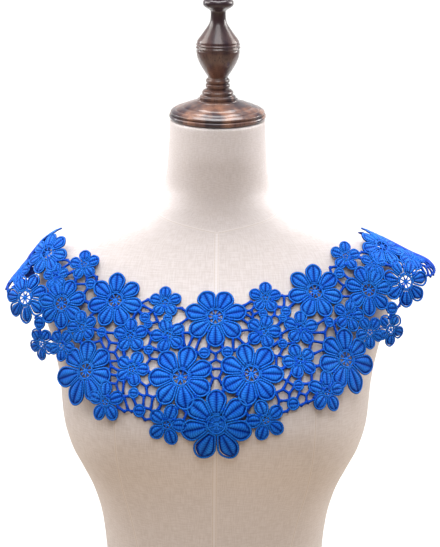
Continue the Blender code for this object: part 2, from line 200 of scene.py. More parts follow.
# The lace's inner face: its gap to the form, its squarer section at the shoulders, and how far it stands out
# beyond the form's right and left side, which starts within one pair of angles and ends within another.
LACE_CLEARANCE = 0.8
LACE_ROUNDNESS_AT_SHOULDER = 2.6
Wing = namedtuple("Wing", "height right left")
WINGS = (
    Wing(360, 0, 0),
    Wing(400, 6, 13),
    Wing(430, 14, 20),
    Wing(450, 22, 25),
    Wing(470, 29, 29),
    Wing(490, 34, 32),
    Wing(503, 37, 25),
    Wing(514, 40, 17),
    Wing(523, 38, 13.5),
    Wing(530, 28.5, 14),
    Wing(538, 20.5, 15.5),
    Wing(547, 13, 16.5),
    Wing(557, 8, 12),
    Wing(572, 2, 3),
)
WING_FADE_DEG = (38, 72)
WING_BACK_FADE_DEG = (100, 135)
# The collar hangs askew: its right side is higher, less so over the shoulders, and it leans about a height.
ASKEW_RISE = 0.049
ASKEW_FADE = (515, 560)
ASKEW_LEAN = 0.02
ASKEW_LEAN_HEIGHT = 465

# One half of the collar from the front: each flower's middle, the reach of its petals, how many it has
# and where the first one points, anticlockwise from +X. Those behind are seen through the form.
Flower = namedtuple("Flower", "name across height reach petals first_deg behind", defaults=(False,))
FLOWERS = (
    Flower("throat_daisy", 0, 482, 29, 7, -90),
    Flower("foot_daisy", 0, 393.5, 33, 7, 90),
    Flower("heart_daisy", 31.4, 433.4, 30, 7, 0),
    Flower("neckline_daisy", 92, 498.3, 27, 7, 94),
    Flower("bust_daisy", 118.8, 437, 29, 7, 188),
    Flower("arm_daisy", 143.3, 495.5, 25, 7, -90),
    Flower("wing_daisy", 180.1, 500, 25, 7, -90),
    Flower("shoulder_daisy", 159.5, 536.2, 23, 7, 180),
    Flower("neckline_blossom", 45.8, 496, 15.5, 5, 90),
    Flower("inner_blossom", 43.1, 467.8, 17, 5, 0),
    Flower("middle_blossom", 77.3, 468.3, 17, 5, 90),
    Flower("lower_blossom", 75.2, 440.7, 17, 5, 114),
    Flower("edge_blossom", 99.5, 412.4, 20, 5, 90),
    Flower("foot_blossom", 43.7, 394.6, 19, 5, 180),
    Flower("collarbone_blossom", 122.4, 528.5, 15.5, 5, 90),
    Flower("arm_blossom", 149.7, 519.2, 14, 5, 90),
    Flower("wing_blossom", 164, 457.6, 16.5, 5, -90),
    Flower("side_blossom", 123, 475, 16, 5, 0),
    Flower("hanging_blossom", 143, 458, 16, 5, -90),
    Flower("ridge_blossom", 175, 546.5, 16, 5, 90),
    Flower("back_daisy", 149, 527, 21, 7, 90, True),
    Flower("back_wing_blossom", 183, 521, 16, 5, 90, True),
    Flower("back_neck_blossom", 138, 535, 15, 5, 90, True),
    Flower("back_end_blossom", 163, 508, 15, 5, -90, True),
    Flower("crest_blossom", 188, 521, 16, 5, 150),
)
# The flowers along the edge of that half, from the middle of the neckline round to the foot.
NET_EDGE = """
    throat_daisy neckline_blossom neckline_daisy collarbone_blossom shoulder_daisy ridge_blossom
    back_neck_blossom back_daisy back_end_blossom back_wing_blossom wing_daisy wing_blossom
    hanging_blossom bust_daisy edge_blossom foot_blossom foot_daisy
""".split()

# Small round discs of satin stitch between the flowers of one half: middle and radius.
Disc = namedtuple("Disc", "across height radius")
DISCS = (
    Disc(64.2, 483.4, 5.4),
    Disc(104, 471, 5.2),
    Disc(60.4, 456.3, 5),
    Disc(73.4, 421, 5.4),
    Disc(68.2, 406.4, 6.2),
    Disc(10.3, 452.4, 5.7),
    Disc(43.3, 482.6, 4.6),
    Disc(115.6, 512.9, 5.6),
    Disc(165.2, 477.2, 6.6),
    Disc(61, 477.8, 4.4),
)
# Openings of the net that keep their place, on one half of the collar.
Opening = namedtuple("Opening", "across height")
OPENINGS = (
    Opening(58, 424),
    Opening(60.6, 414),
    Opening(3.2, 449.2),
    Opening(0, 442.4),
    Opening(0, 435.8),
    Opening(0, 427.2),
    Opening(7.4, 431.5),
    Opening(62, 431),
    Opening(35.5, 453),
    Opening(56.5, 453),
    Opening(12.5, 459),
    Opening(25, 465),
    Opening(25, 474),
    Opening(58, 482.5),
    Opening(25.5, 409),
    Opening(30.5, 404),
    Opening(24.5, 417.5),
)

# Seams of the linen: how far from the middle each lies, by height, and the neck's seam by direction.
SeamPoint = namedtuple("SeamPoint", "height across")
PRINCESS_SEAM = (
    SeamPoint(4, 92),
    SeamPoint(60, 92),
    SeamPoint(130, 78),
    SeamPoint(212, 67),
    SeamPoint(250, 71),
    SeamPoint(285, 78),
    SeamPoint(320, 86),
    SeamPoint(360, 90),
    SeamPoint(400, 91),
    SeamPoint(450, 99),
    SeamPoint(500, 113),
    SeamPoint(540, 121),
    SeamPoint(549, 122),
)
NeckSeam = namedtuple("NeckSeam", "turn_deg height")
NECK_SEAM = (
    NeckSeam(0, 555),
    NeckSeam(35, 570),
    NeckSeam(62, 583),
    NeckSeam(90, 591),
    NeckSeam(135, 590),
    NeckSeam(180, 588),
)
SHOULDER_SEAM_TOP = 590
# The height at which seams start, and how many points lie along each.
SEAM_START = 2.5
CENTRE_SEAM_POINTS = 150
SHOULDER_SEAM_POINTS = 170
PRINCESS_SEAM_POINTS = 120
NECK_SEAM_POINTS = 121

# ---------------------------------------------------------------- sizes of the stitches

# Flat coordinates of the lace: round the form at one radius, and up, stretched over the shoulders' slope.
UNROLL_RADIUS = 165
SHOULDER_HEIGHT = 522
SHOULDER_STRETCH = 0.9
# How finely a place on the lace is sought, and the walks from each flower's middle that its patch fits.
ON_SURFACE_SAMPLES = 400
ANGLE_ROUNDS = 8
WALK_STEP = 3
PATCH_TURNS = 24
PATCH_DEGREE = 5
PATCH_MARGIN = 2
TINY = 1e-9

# A petal's outline is an egg: its widest place lies this far towards the tip, and its ends are pointed by a
# power. It starts inside the ring in its flower's middle and is cut off there. It is also cut off, with a
# rounded corner, where the next petal begins, but keeps a least half width.
EGG = 0.1
PETAL_POINT = 1.15
PETAL_INSIDE_RING = 0.36
WEDGE_SHARPNESS = 10
LEAST_ROOM = 0.2
LEAST_CHORD = 1e-6
# How petals of one flower vary by hand: in reach, in width and in direction, as a share of their spacing.
REACH_VARIES = (0.97, 1.02)
WIDTH_VARIES = (0.96, 1.04)
TURN_VARIES = (-0.02, 0.02)
# A pad's inset in half cords, where its cord covers its rim and where a slit parts them. Then where painted
# shade darkens its rim, between its middle at 0 and its edge at 1, and how nearly its dome comes down to its
# rim.
PAD_UNDER_CORD = 1.5
PAD_BESIDE_CORD = 1.8
PAD_RIM_PAINTED_SHADE = (0.54, 0.74)
PAD_DOME = 0.96
# Daisies have seven petals and blossoms five. The ring in the middle grows slower than its flower does.
Kind = namedtuple("Kind", "ring hub spokes half_width lobes columns rows loop_steps usual_reach fineness")
KINDS = {
    7: Kind(7.3, 2.3, 8, 0.308, 2, 14, 8, 26, 28, 1),
    5: Kind(3.6, 1.4, 5, 0.375, 2, 10, 6, 20, 16, 0.85),
}
RING_GROWTH = 0.6
# A disc is stitched as a blossom's petal is.
DISC_KIND = KINDS[5]
# Half the thickness of a spoke at the hub and at the ring, where it starts on the hub, and the hub's rise.
SPOKE_RADII = (0.95, 0.55)
SPOKE_START = 0.8
HUB_RISE = 1.1
# Petals unlike the rest of their flower, counted anticlockwise from the first: their share of the usual
# breadth, and of the usual length on the right half and on the left.
OddPetal = namedtuple("OddPetal", "breadth right left")
ODD_PETALS = {
    ("throat_daisy", 3): OddPetal(1.1, 0.94, 0.94),
    ("throat_daisy", 4): OddPetal(1.1, 0.94, 0.94),
    ("foot_daisy", 0): OddPetal(1, 0.94, 0.94),
    ("foot_daisy", 3): OddPetal(1, 1.06, 1.06),
    ("foot_daisy", 4): OddPetal(1, 1.06, 1.06),
    ("bust_daisy", 2): OddPetal(1, 1.2, 1),
    ("bust_daisy", 3): OddPetal(1, 1.16, 0.95),
    ("bust_daisy", 4): OddPetal(1, 0.92, 1.25),
    ("bust_daisy", 5): OddPetal(1, 1, 1.2),
}
EVEN_PETAL = OddPetal(1, 1, 1)
# Flowers and petals with a slit beside their outline.
SLIT_FLOWERS = ("wing_daisy", "wing_blossom")
SLIT_PETALS = (("foot_daisy", 3), ("foot_daisy", 4))
# How broad the petals of some flowers are, as a share of their kind's, and those of all others.
FLOWER_BREADTH = {"edge_blossom": 0.9, "foot_blossom": 0.92}
FLOWER_BREADTH |= {"bust_daisy": 1.14, "heart_daisy": 1.06, "foot_daisy": 1.05}
USUAL_BREADTH = 1.04
# How much painted shade darkens a cord round a petal towards its outer side.
CORD_OUTER_PAINTED_SHADE = 0.8
# Flowers whose ring is filled behind its spokes: the filling's height over the inner face, and its rise.
FILLED_RINGS = ("foot_daisy",)
FILLING_HEIGHT = 0.5
FILLING_RISE = 0.4
# Facets of the stamped meshes: round a cord, along the ring of a flower's middle, and of a knob.
CORD_SIDES = 5
RING_STEPS = 24
KNOB_FACETS = (10, 6)
OUTLINE_POINTS = 22

# The net's openings: the usual area of one, how near a drawn one may come to a fixed one, and how their
# middles are spread. Ghosts are middles outside the collar, in two rows along its edge.
CELL_AREA = 50
OPENINGS_APART = 6
NET_SAMPLE_STEP = 1.4
NET_SEED = 7
NET_ROUNDS = 24
GHOST_STEP = 7
GHOST_OFFSET = 4.2
GHOST_SECOND_ROW = 4
# The net's cords: their samples and parts, how they flare at both ends and their greatest half thickness,
# and which bridges are short and how much broader. Then how far a cord runs on under a flower and past its
# end, and the shortest that is stitched.
BAR_SAMPLES = 24
BAR_PARTS = 4
BAR_FLARE = 0.55
BAR_THICKEST = 0.95
SHORT_BRIDGE = 9
SHORT_BRIDGE_BREADTH = 1.1
BAR_TUCK = 2
BAR_OVERRUN = 0.5
SHORTEST_BAR = 1.6


# ---------------------------------------------------------------- shape of the form and of the lace


def curve_through(places, values, wanted):
    """A smooth curve through the values at the places, which never overshoots them, read where wanted."""
    places = np.asarray(places, float)
    values = np.asarray(values, float)
    wanted = np.asarray(wanted, float)
    span = np.diff(places)
    slope = np.diff(values) / span
    tangent = np.zeros_like(values)
    tangent[0] = slope[0]
    tangent[-1] = slope[-1]
    before = 2 * span[1:] + span[:-1]
    after = span[1:] + 2 * span[:-1]
    turning = slope[:-1] * slope[1:] <= 0
    steep = np.where(turning, 1, slope[:-1])
    steep_next = np.where(turning, 1, slope[1:])
    tangent[1:-1] = np.where(turning, 0, (before + after) / (before / steep + after / steep_next))
    i = np.clip(np.searchsorted(places, wanted) - 1, 0, len(places) - 2)
    t = np.clip((wanted - places[i]) / span[i], 0, 1)
    start = (1 + 2 * t) * (1 - t) ** 2 * values[i] + t * (1 - t) ** 2 * span[i] * tangent[i]
    end = t * t * (3 - 2 * t) * values[i + 1] + t * t * (t - 1) * span[i] * tangent[i + 1]
    return start + end


def read(rows, column, wanted):
    """A column of a table, read between its rows by height, or a height read by direction."""
    scale = "turn_deg" if column == "height" else "height"
    places = [getattr(row, scale) for row in rows]
    return curve_through(places, [getattr(row, column) for row in rows], wanted)


def run_along(first, second):
    """How far along a flat line each of its points lies."""
    return np.concatenate([[0], np.cumsum(np.hypot(np.diff(first), np.diff(second)))])


def eased(low, high, value):
    """0 below low, 1 above high and a smooth step between them."""
    t = np.clip((value - low) / (high - low), 0, 1)
    return t * t * (3 - 2 * t)


def bust(across, height, lace):
    """How far the bust stands forward. Stiff lace spans its valley and falls away from it more gently."""
    off_centre = np.abs(across)
    valley = 0 if lace else BUST_VALLEY
    spread = BUST_SPREAD_OF_LACE if lace else BUST_SPREAD
    inner = 1 - valley * (1 - np.clip(off_centre / BUST_ACROSS, 0, 1) ** 2) ** 2
    outer = np.exp(-0.5 * ((off_centre - BUST_ACROSS) / spread) ** 2)
    rise = height - BUST_HEIGHT
    drop = np.where(rise > 0, BUST_DROP_ABOVE, BUST_DROP_BELOW)
    return BUST_RISE * np.where(off_centre < BUST_ACROSS, inner, outer) * np.exp(-0.5 * (rise / drop) ** 2)


def wing(angle, height):
    """How far the lace stands out beyond the form's side, at an angle round the form."""
    stand_off = np.where(angle > 0, read(WINGS, "right", height), read(WINGS, "left", height))
    degrees = np.degrees(np.abs(angle))
    return stand_off * eased(*WING_FADE_DEG, degrees) * (1 - eased(*WING_BACK_FADE_DEG, degrees))


def section_at(angle, height, lace):
    """Half width, depth, side line and roundness of the section that a point lies on."""
    half_width = read(FORM_SECTIONS, "half_width", height)
    front = read(FORM_SECTIONS, "front", height)
    back = read(FORM_SECTIONS, "back", height)
    side = read(FORM_SECTIONS, "side", height)
    depth = np.where(np.cos(angle) > 0, side - front, back - side)
    if not lace:
        return half_width, depth, side, FORM_ROUNDNESS
    squarer = (LACE_ROUNDNESS_AT_SHOULDER - FORM_ROUNDNESS) * np.sin(angle) ** 2
    clear = LACE_CLEARANCE
    return half_width + clear + wing(angle, height), depth + clear, side, FORM_ROUNDNESS + squarer


def surface_point(angle, height, lace=False):
    """Points of the form, or of the inner face of the lace, at angles round the form from its front."""
    half_width, depth, side, roundness = section_at(angle, height, lace)
    sine = np.abs(np.sin(angle))
    cosine = np.abs(np.cos(angle))
    reach = (sine**roundness + cosine**roundness) ** (-1 / roundness)
    x = half_width * reach * np.sin(angle)
    y = side - depth * reach * np.cos(angle)
    y = y - bust(x, height, lace) * eased(0, BUST_SIDE_FADE, np.cos(angle))
    return np.stack(np.broadcast_arrays(x, y, height), axis=-1)


def surface_normal(angle, height, lace=False):
    """The outward direction of the form or of the lace."""
    small = 0.002
    along = surface_point(angle + small, height, lace) - surface_point(angle - small, height, lace)
    small = 0.3
    up = surface_point(angle, height + small, lace) - surface_point(angle, height - small, lace)
    return unit(np.cross(along, up))


def unit(vectors):
    return vectors / np.linalg.norm(vectors, axis=-1, keepdims=True)


def lace_angle(points):
    """The angle round the form of points on or near the lace."""
    x, y, height = points.T
    angle = np.arctan2(x, -y)
    for _ in range(ANGLE_ROUNDS):
        half_width, depth, side, _ = section_at(angle, height, True)
        level = y + bust(x, height, True) * eased(0, BUST_SIDE_FADE, np.cos(angle))
        angle = np.arctan2(x / half_width, (side - level) / depth)
    return angle


def settled(points):
    """Points near the lace, moved on to it, and its outward direction there."""
    for _ in range(2):
        angle = lace_angle(points)
        height = points[:, 2]
        normal = surface_normal(angle, height, True)
        off = ((points - surface_point(angle, height, True)) * normal).sum(axis=1, keepdims=True)
        points = points - normal * off
    return points, normal


def on_surface(across, height, lace, behind=False):
    """The angle round the form of the point at a distance from the middle and a height."""
    first, last = (math.pi / 2, math.pi) if behind else (0, math.pi / 2)
    angles = np.linspace(first, last, ON_SURFACE_SAMPLES) * math.copysign(1, across)
    x = surface_point(angles, np.full_like(angles, height), lace)[:, 0]
    order = np.argsort(x)
    return float(np.interp(across, x[order], angles[order]))


def hung(across, height, mirror):
    """A place on one half of the collar, moved to the side that it is on and askew as the collar hangs."""
    across = -across if mirror else across
    rise = ASKEW_RISE * across * (1 - eased(*ASKEW_FADE, height))
    return across - ASKEW_LEAN * (height - ASKEW_LEAN_HEIGHT), height + rise


def unrolled(points):
    """Points of the lace as flat coordinates: round the form, and up, with sloping shoulders stretched."""
    height = points[:, 2]
    up = height + SHOULDER_STRETCH * np.maximum(height - SHOULDER_HEIGHT, 0)
    return np.stack([lace_angle(points) * UNROLL_RADIUS, up], axis=-1)


def rolled(flat):
    """Places on the lace from flat coordinates, and its outward direction there."""
    up = flat[:, 1]
    height = up - np.maximum(up - SHOULDER_HEIGHT, 0) * SHOULDER_STRETCH / (1 + SHOULDER_STRETCH)
    angle = flat[:, 0] / UNROLL_RADIUS
    return surface_point(angle, height, True), surface_normal(angle, height, True)


def form_point(angle, height):
    """Points of the form, its neck leaning forward."""
    places = surface_point(angle, height)
    lean = math.tan(math.radians(NECK_LEAN_DEG)) * eased(NECK_LEAN_FROM, NECK_TOP, height)
    places[..., 2] += (places[..., 1] - NECK_TOP_CENTRE_Y) * lean
    return places


# ---------------------------------------------------------------- smooth patches of lace round a flower

Spot = namedtuple("Spot", "across height behind heading_deg reach")


class Patch:
    """The lace round one spot, as smooth functions of flat places from that spot's middle."""

    powers = [(i, j) for i in range(PATCH_DEGREE + 1) for j in range(PATCH_DEGREE + 1 - i)]

    def __init__(self, flat, places, reach):
        self.reach = reach
        self.factors = np.linalg.lstsq(self.terms(flat / reach), places, rcond=None)[0]

    def terms(self, flat):
        return np.stack([flat[:, 0] ** i * flat[:, 1] ** j for i, j in self.powers], axis=1)

    def at(self, flat):
        """Places on the lace, and its outward direction there."""
        flat = flat / self.reach
        places = self.terms(flat) @ self.factors
        small = 0.01
        along = self.terms(flat + (small, 0)) - self.terms(flat - (small, 0))
        aside = self.terms(flat + (0, small)) - self.terms(flat - (0, small))
        return places, unit(np.cross(along @ self.factors, aside @ self.factors))

    def lifted(self, points):
        """Points given as flat places and a height over the lace's inner face."""
        places, normals = self.at(points[:, :2])
        return places + normals * points[:, 2:]


def patches(spots):
    """A patch for each spot, from walks over the lace in all directions."""
    angles = np.array([on_surface(spot.across, spot.height, True, spot.behind) for spot in spots])
    heights = np.array([spot.height for spot in spots], float)
    middles = surface_point(angles, heights, True)
    normals = surface_normal(angles, heights, True)
    turned = np.radians([spot.heading_deg for spot in spots])
    headings = np.stack([np.cos(turned), np.zeros(len(spots)), np.sin(turned)], axis=1)
    facing = np.where(np.abs(normals[:, 1]) < TINY, -TINY, normals[:, 1])
    headings[:, 1] = -(normals[:, 0] * headings[:, 0] + normals[:, 2] * headings[:, 2]) / facing
    headings = unit(headings)
    asides = np.cross(normals, headings)
    turns = np.arange(PATCH_TURNS) * TAU / PATCH_TURNS
    ways = np.cos(turns)[None, :, None] * headings[:, None] + np.sin(turns)[None, :, None] * asides[:, None]
    reaches = np.array([spot.reach for spot in spots]) + PATCH_MARGIN
    steps = math.ceil(reaches.max() / WALK_STEP)
    stride = np.repeat(reaches / steps, PATCH_TURNS)[:, None]
    points = np.repeat(middles, PATCH_TURNS, axis=0)
    ways = ways.reshape(-1, 3)
    rings = [points]
    for _ in range(steps):
        points, normals = settled(points + ways * stride)
        ways = unit(ways - normals * (ways * normals).sum(axis=1, keepdims=True))
        rings.append(points)
    rings = np.array(rings).reshape(steps + 1, len(spots), PATCH_TURNS, 3)
    found = []
    for i, reach in enumerate(reaches):
        out = np.arange(steps + 1)[:, None] * reach / steps
        flat = np.stack([out * np.cos(turns), out * np.sin(turns)], axis=-1).reshape(-1, 2)
        found.append(Patch(flat, rings[:, i].reshape(-1, 3), reach))
    return found


# ---------------------------------------------------------------- small meshes that are stamped again


def kept_mesh(name, shape):
    for face in shape.faces:
        face.smooth = True
    mesh = bpy.data.meshes.new(name)
    shape.to_mesh(mesh)
    shape.free()
    return mesh


def points_of(mesh):
    points = np.empty(len(mesh.vertices) * 3)
    mesh.vertices.foreach_get("co", points)
    return points.reshape(-1, 3)


def grid_line(places, count):
    """Which line of a grid from -1 to 1, in so many parts, each place lies on."""
    return np.rint((places + 1) / 2 * count).astype(int)


def spun(shape, geom, steps):
    """Parts of a shape, spun once round Z and closed on themselves."""
    turn = {"cent": (0, 0, 0), "axis": (0, 0, 1), "angle": TAU, "use_merge": True}
    bmesh.ops.spin(shape, geom=geom, steps=steps, **turn)


def strip_mesh(columns, rows):
    """An open strip, as a grid."""
    shape = bmesh.new()
    bmesh.ops.create_grid(shape, x_segments=columns, y_segments=rows, size=1)
    return kept_mesh("strip", shape)


def pad_mesh(columns, rows):
    """A square grid over a skirt and a floor: 1 high on top and 0 at its floor."""
    shape = bmesh.new()
    top = bmesh.ops.create_grid(shape, x_segments=columns, y_segments=rows, size=1)["verts"]
    bmesh.ops.translate(shape, verts=top, vec=(0, 0, 1))
    rim = [edge for edge in shape.edges if edge.is_boundary]
    skirt = bmesh.ops.extrude_edge_only(shape, edges=rim)["geom"]
    lowered = [part for part in skirt if isinstance(part, bmesh.types.BMVert)]
    bmesh.ops.translate(shape, verts=lowered, vec=(0, 0, -1))
    bmesh.ops.holes_fill(shape, edges=[edge for edge in shape.edges if edge.is_boundary])
    return kept_mesh("pad", shape)


LOOP_TUBE = 0.25


def loop_mesh(steps, sides):
    """A ring of radius 1 round Z."""
    shape = bmesh.new()
    upright = Matrix.Translation((1, 0, 0)) @ Matrix.Rotation(math.pi / 2, 4, "X")
    made = bmesh.ops.create_circle(shape, cap_ends=False, segments=sides, radius=LOOP_TUBE, matrix=upright)
    spun(shape, made["verts"] + list(shape.edges), steps)
    return kept_mesh("loop", shape)


def bar_mesh(parts, sides):
    """A closed bar of radius 1 along Z from 0 to 1."""
    shape = bmesh.new()
    raised = Matrix.Translation((0, 0, 0.5))
    size = {"radius1": 1, "radius2": 1, "depth": 1}
    bmesh.ops.create_cone(shape, cap_ends=True, segments=sides, matrix=raised, **size)
    long = [edge for edge in shape.edges if abs(edge.verts[0].co.z - edge.verts[1].co.z) > 0.5]
    if parts > 1:
        bmesh.ops.subdivide_edges(shape, edges=long, cuts=parts - 1)
    return kept_mesh("bar", shape)


def knob_mesh(around, levels):
    shape = bmesh.new()
    bmesh.ops.create_uvsphere(shape, u_segments=around, v_segments=levels, radius=1)
    return kept_mesh("knob", shape)


class Cloth:
    """Stitched pieces gathered into one mesh, with how far along its stitches each point lies and how far
    down in a groove or on a cord's side, which the finishes darken as painted shade."""

    def __init__(self):
        self.shape = bmesh.new()
        self.templates = {}
        self.points = []
        self.along = []
        self.groove = []

    def template(self, make, *sizes):
        """A small mesh that is stamped again, made by its function when it is first needed."""
        if (make, sizes) not in self.templates:
            self.templates[make, sizes] = make(*sizes)
        return self.templates[make, sizes]

    def stamp(self, mesh, points, along, groove, finish=0):
        mesh.polygons.foreach_set("material_index", [finish] * len(mesh.polygons))
        self.shape.from_mesh(mesh)
        self.points.append(points)
        self.along.append(along)
        self.groove.append(groove)

    def made(self, name, finishes):
        """The object, with its place in its mesh and its faces outwards."""
        for vertex, place in zip(self.shape.verts, np.concatenate(self.points) * MM):
            vertex.co = place
        self.shape.normal_update()
        bmesh.ops.recalc_face_normals(self.shape, faces=self.shape.faces)
        mesh = bpy.data.meshes.new(name)
        self.shape.to_mesh(mesh)
        self.shape.free()
        for template in self.templates.values():
            bpy.data.meshes.remove(template)
        for label, values in (("along", self.along), ("groove", self.groove)):
            mesh.attributes.new(label, "FLOAT", "POINT").data.foreach_set("value", np.concatenate(values))
        for finish in finishes:
            mesh.materials.append(finish)
        made = bpy.data.objects.new(name, mesh)
        bpy.context.scene.collection.objects.link(made)
        return made


# ---------------------------------------------------------------- stitched shapes, flat on the lace

# The finishes of the flowers' mesh, in their order.
PAD, CORD = 0, 1
Petal = namedtuple("Petal", "start length half_width egg turn ring wedge")


def round_petal(radius):
    """A circle about the middle, as a petal that nothing cuts off."""
    return Petal(-radius, 2 * radius, radius, 0, 0, -radius, 0)


def shrunk(petal, margin):
    """The petal, drawn in all round by a margin."""
    return petal._replace(
        start=petal.start + margin,
        length=petal.length - 2 * margin,
        half_width=petal.half_width - margin,
        ring=petal.ring + margin,
    )


def turned(out, aside, turn):
    """Flat places from how far out and how far aside they lie, turned about the middle."""
    cosine = math.cos(turn)
    sine = math.sin(turn)
    return np.stack([out * cosine - aside * sine, out * sine + aside * cosine], axis=-1)


def petal_place(petal, across, along, margin):
    """How far out and aside a place of the unit disc lies in a petal that the ring and the next petals
    cut off, a margin inside them."""
    out = np.maximum(petal.start + petal.length * (1 + along) / 2, petal.ring)
    chord = np.sqrt(np.maximum(1 - along**2, LEAST_CHORD))
    edge = petal.half_width * chord**PETAL_POINT * (1 + petal.egg * along)
    if petal.wedge:
        room = np.maximum(out * petal.wedge - margin, LEAST_ROOM)
        edge = (edge**-WEDGE_SHARPNESS + room**-WEDGE_SHARPNESS) ** (-1 / WEDGE_SHARPNESS)
    return out, edge * across / chord


def petal_outline(petal, around, margin=0):
    """The petal's edge at angles round it from its tip, and its outward direction, out and aside."""
    small = 0.02
    places = [
        np.stack(petal_place(petal, np.sin(around + step), np.cos(around + step), margin), axis=-1)
        for step in (-small, 0, small)
    ]
    way = places[2] - places[0]
    return places[1], unit(np.stack([way[:, 1], -way[:, 0]], axis=-1))


def add_pad(cloth, patch, petal, kind, inset, sizes):
    """Satin stitch that fills a petal, in lengthwise columns that curve with its outline."""
    mesh = cloth.template(pad_mesh, kind.columns, kind.rows)
    a, b, top = points_of(mesh).T
    across = a * np.sqrt(1 - b * b / 2)
    along = b * np.sqrt(1 - a * a / 2)
    off_middle = np.clip(across**2 + along**2, 0, 1)
    out, aside = petal_place(shrunk(petal, inset), across, along, inset)
    groove = np.abs(2 * ((a + 1) / 2 * kind.lobes % 1) - 1)
    dome = np.sqrt(1 - PAD_DOME * off_middle)
    height = sizes.pad_rim + sizes.pad_rise * dome + sizes.pad_ridge * (1 - groove**2) * np.sqrt(dome)
    height = np.where(top > 0.5, height, sizes.pad_floor)
    flat = turned(out, aside, petal.turn)
    # Painted shade: dark in the grooves between columns, towards the rim and on the floor.
    groove = np.where(top > 0.5, np.maximum(groove**1.5, eased(*PAD_RIM_PAINTED_SHADE, off_middle)), 1)
    points = patch.lifted(np.column_stack([flat, height]))
    cloth.stamp(mesh, points, out, groove, PAD)


def add_loop(cloth, patch, petal, steps, radius, height):
    """A cord along the inside of a petal's edge, or of a circle."""
    mesh = cloth.template(loop_mesh, steps, CORD_SIDES)
    x, y, z = points_of(mesh).T
    around = np.arctan2(y, x)
    outward = (np.hypot(x, y) - 1) / LOOP_TUBE
    upward = z / LOOP_TUBE
    edge, normal = petal_outline(shrunk(petal, radius), around, radius)
    edge = edge + normal * (outward * radius)[:, None]
    flat = turned(edge[:, 0], edge[:, 1], petal.turn)
    points = patch.lifted(np.column_stack([flat, height + upward * radius]))
    run = around / math.pi * (petal.length + petal.half_width)
    # Painted shade low on the cord's sides, more so outwards; its top is left light.
    shade = 1 - upward + CORD_OUTER_PAINTED_SHADE * np.maximum(outward, 0)
    cloth.stamp(mesh, points, run, np.clip(shade, 0, 1), CORD)


def add_spoke(cloth, patch, turn, start, end, radii, height):
    mesh = cloth.template(bar_mesh, 1, CORD_SIDES)
    x, y, along = points_of(mesh).T
    radius = radii[0] + (radii[1] - radii[0]) * along
    out = start + (end - start) * along
    flat = turned(out, x * radius, turn)
    points = patch.lifted(np.column_stack([flat, height + y * radius]))
    # Painted shade on the spoke's lower side.
    cloth.stamp(mesh, points, out, (1 - y) / 2, PAD)


def add_knob(cloth, patch, radius, height, rise):
    mesh = cloth.template(knob_mesh, *KNOB_FACETS)
    x, y, z = points_of(mesh).T
    points = patch.lifted(np.column_stack([x * radius, y * radius, height + z * rise]))
    # Painted shade on the knob's lower part.
    cloth.stamp(mesh, points, np.hypot(x, y) * radius, (1 - z) / 3, PAD)


def petals_of(flower, mirror):
    """The petals of one flower, each a little unlike the next as hand-fed embroidery leaves them."""
    kind = KINDS[flower.petals]
    seeded = random.Random(f"{flower.name} {mirror}")
    step = TAU / flower.petals
    ring = ring_radius(flower)
    start = ring * (1 - PETAL_INSIDE_RING)
    found = []
    for i in range(flower.petals):
        petal = ODD_PETALS.get((flower.name, i), EVEN_PETAL)
        broader = petal.breadth * FLOWER_BREADTH.get(flower.name, USUAL_BREADTH)
        reach = flower.reach * seeded.uniform(*REACH_VARIES) * (petal.left if mirror else petal.right)
        half_width = flower.reach * kind.half_width * seeded.uniform(*WIDTH_VARIES) * broader
        turn = (i + seeded.uniform(*TURN_VARIES)) * step
        found.append(Petal(start, reach - start, half_width, EGG, turn, ring, math.tan(step / 2)))
    return found


def ring_radius(flower):
    kind = KINDS[flower.petals]
    return kind.ring * (flower.reach / kind.usual_reach) ** RING_GROWTH


def has_slits(flower, i):
    return flower.name in SLIT_FLOWERS or (flower.name, i) in SLIT_PETALS


def add_flower(cloth, patch, flower, mirror, sizes):
    """A flower's petals, the ring in its middle, and the hub that spokes hold in the ring."""
    kind = KINDS[flower.petals]
    cord = sizes.outline_cord / 2 * kind.fineness
    for i, petal in enumerate(petals_of(flower, mirror)):
        add_loop(cloth, patch, petal, kind.loop_steps, cord, sizes.cord_height)
        slit = sizes.slit if has_slits(flower, i) else 0
        filling = petal._replace(turn=petal.turn + 2 * slit / flower.reach)
        under = PAD_BESIDE_CORD if slit else PAD_UNDER_CORD
        add_pad(cloth, patch, filling, kind, under * cord + slit, sizes)
    ring = ring_radius(flower)
    add_loop(cloth, patch, round_petal(ring + cord), RING_STEPS, cord, sizes.cord_height)
    if flower.name in FILLED_RINGS:
        add_knob(cloth, patch, ring, FILLING_HEIGHT, FILLING_RISE)
    scale = ring / kind.ring
    radii = [radius * kind.fineness * scale for radius in SPOKE_RADII]
    for i in range(kind.spokes):
        turn = (i + 0.5) * TAU / kind.spokes
        add_spoke(cloth, patch, turn, SPOKE_START * kind.hub, ring, radii, sizes.cord_height)
    add_knob(cloth, patch, kind.hub * scale, sizes.cord_height, HUB_RISE * kind.fineness)


def add_disc(cloth, patch, disc, sizes):
    circle = round_petal(disc.radius)
    cord = sizes.outline_cord / 2
    add_loop(cloth, patch, circle, DISC_KIND.loop_steps, cord, sizes.cord_height)
    add_pad(cloth, patch, circle, DISC_KIND, PAD_UNDER_CORD * cord, sizes)


# ---------------------------------------------------------------- the net between the flowers


def sides_of_collar(rows):
    """Each row of a half's table with each side that it is on."""
    return [(row, mirror) for row in rows for mirror in (False, True) if row.across or not mirror]


@lru_cache
def laid_flowers():
    """Each flower, the side that it is on and the patch of lace under it."""
    rows = sides_of_collar(FLOWERS)
    spots = []
    for flower, mirror in rows:
        across, height = hung(flower.across, flower.height, mirror)
        heading = 180 - flower.first_deg if mirror else flower.first_deg
        spots.append(Spot(across, height, flower.behind, heading, flower.reach))
    return list(zip(rows, patches(spots)))


@lru_cache
def laid_discs():
    rows = sides_of_collar(DISCS)
    spots = []
    for disc, mirror in rows:
        spots.append(Spot(*hung(disc.across, disc.height, mirror), False, 0, disc.radius))
    return list(zip(rows, patches(spots)))


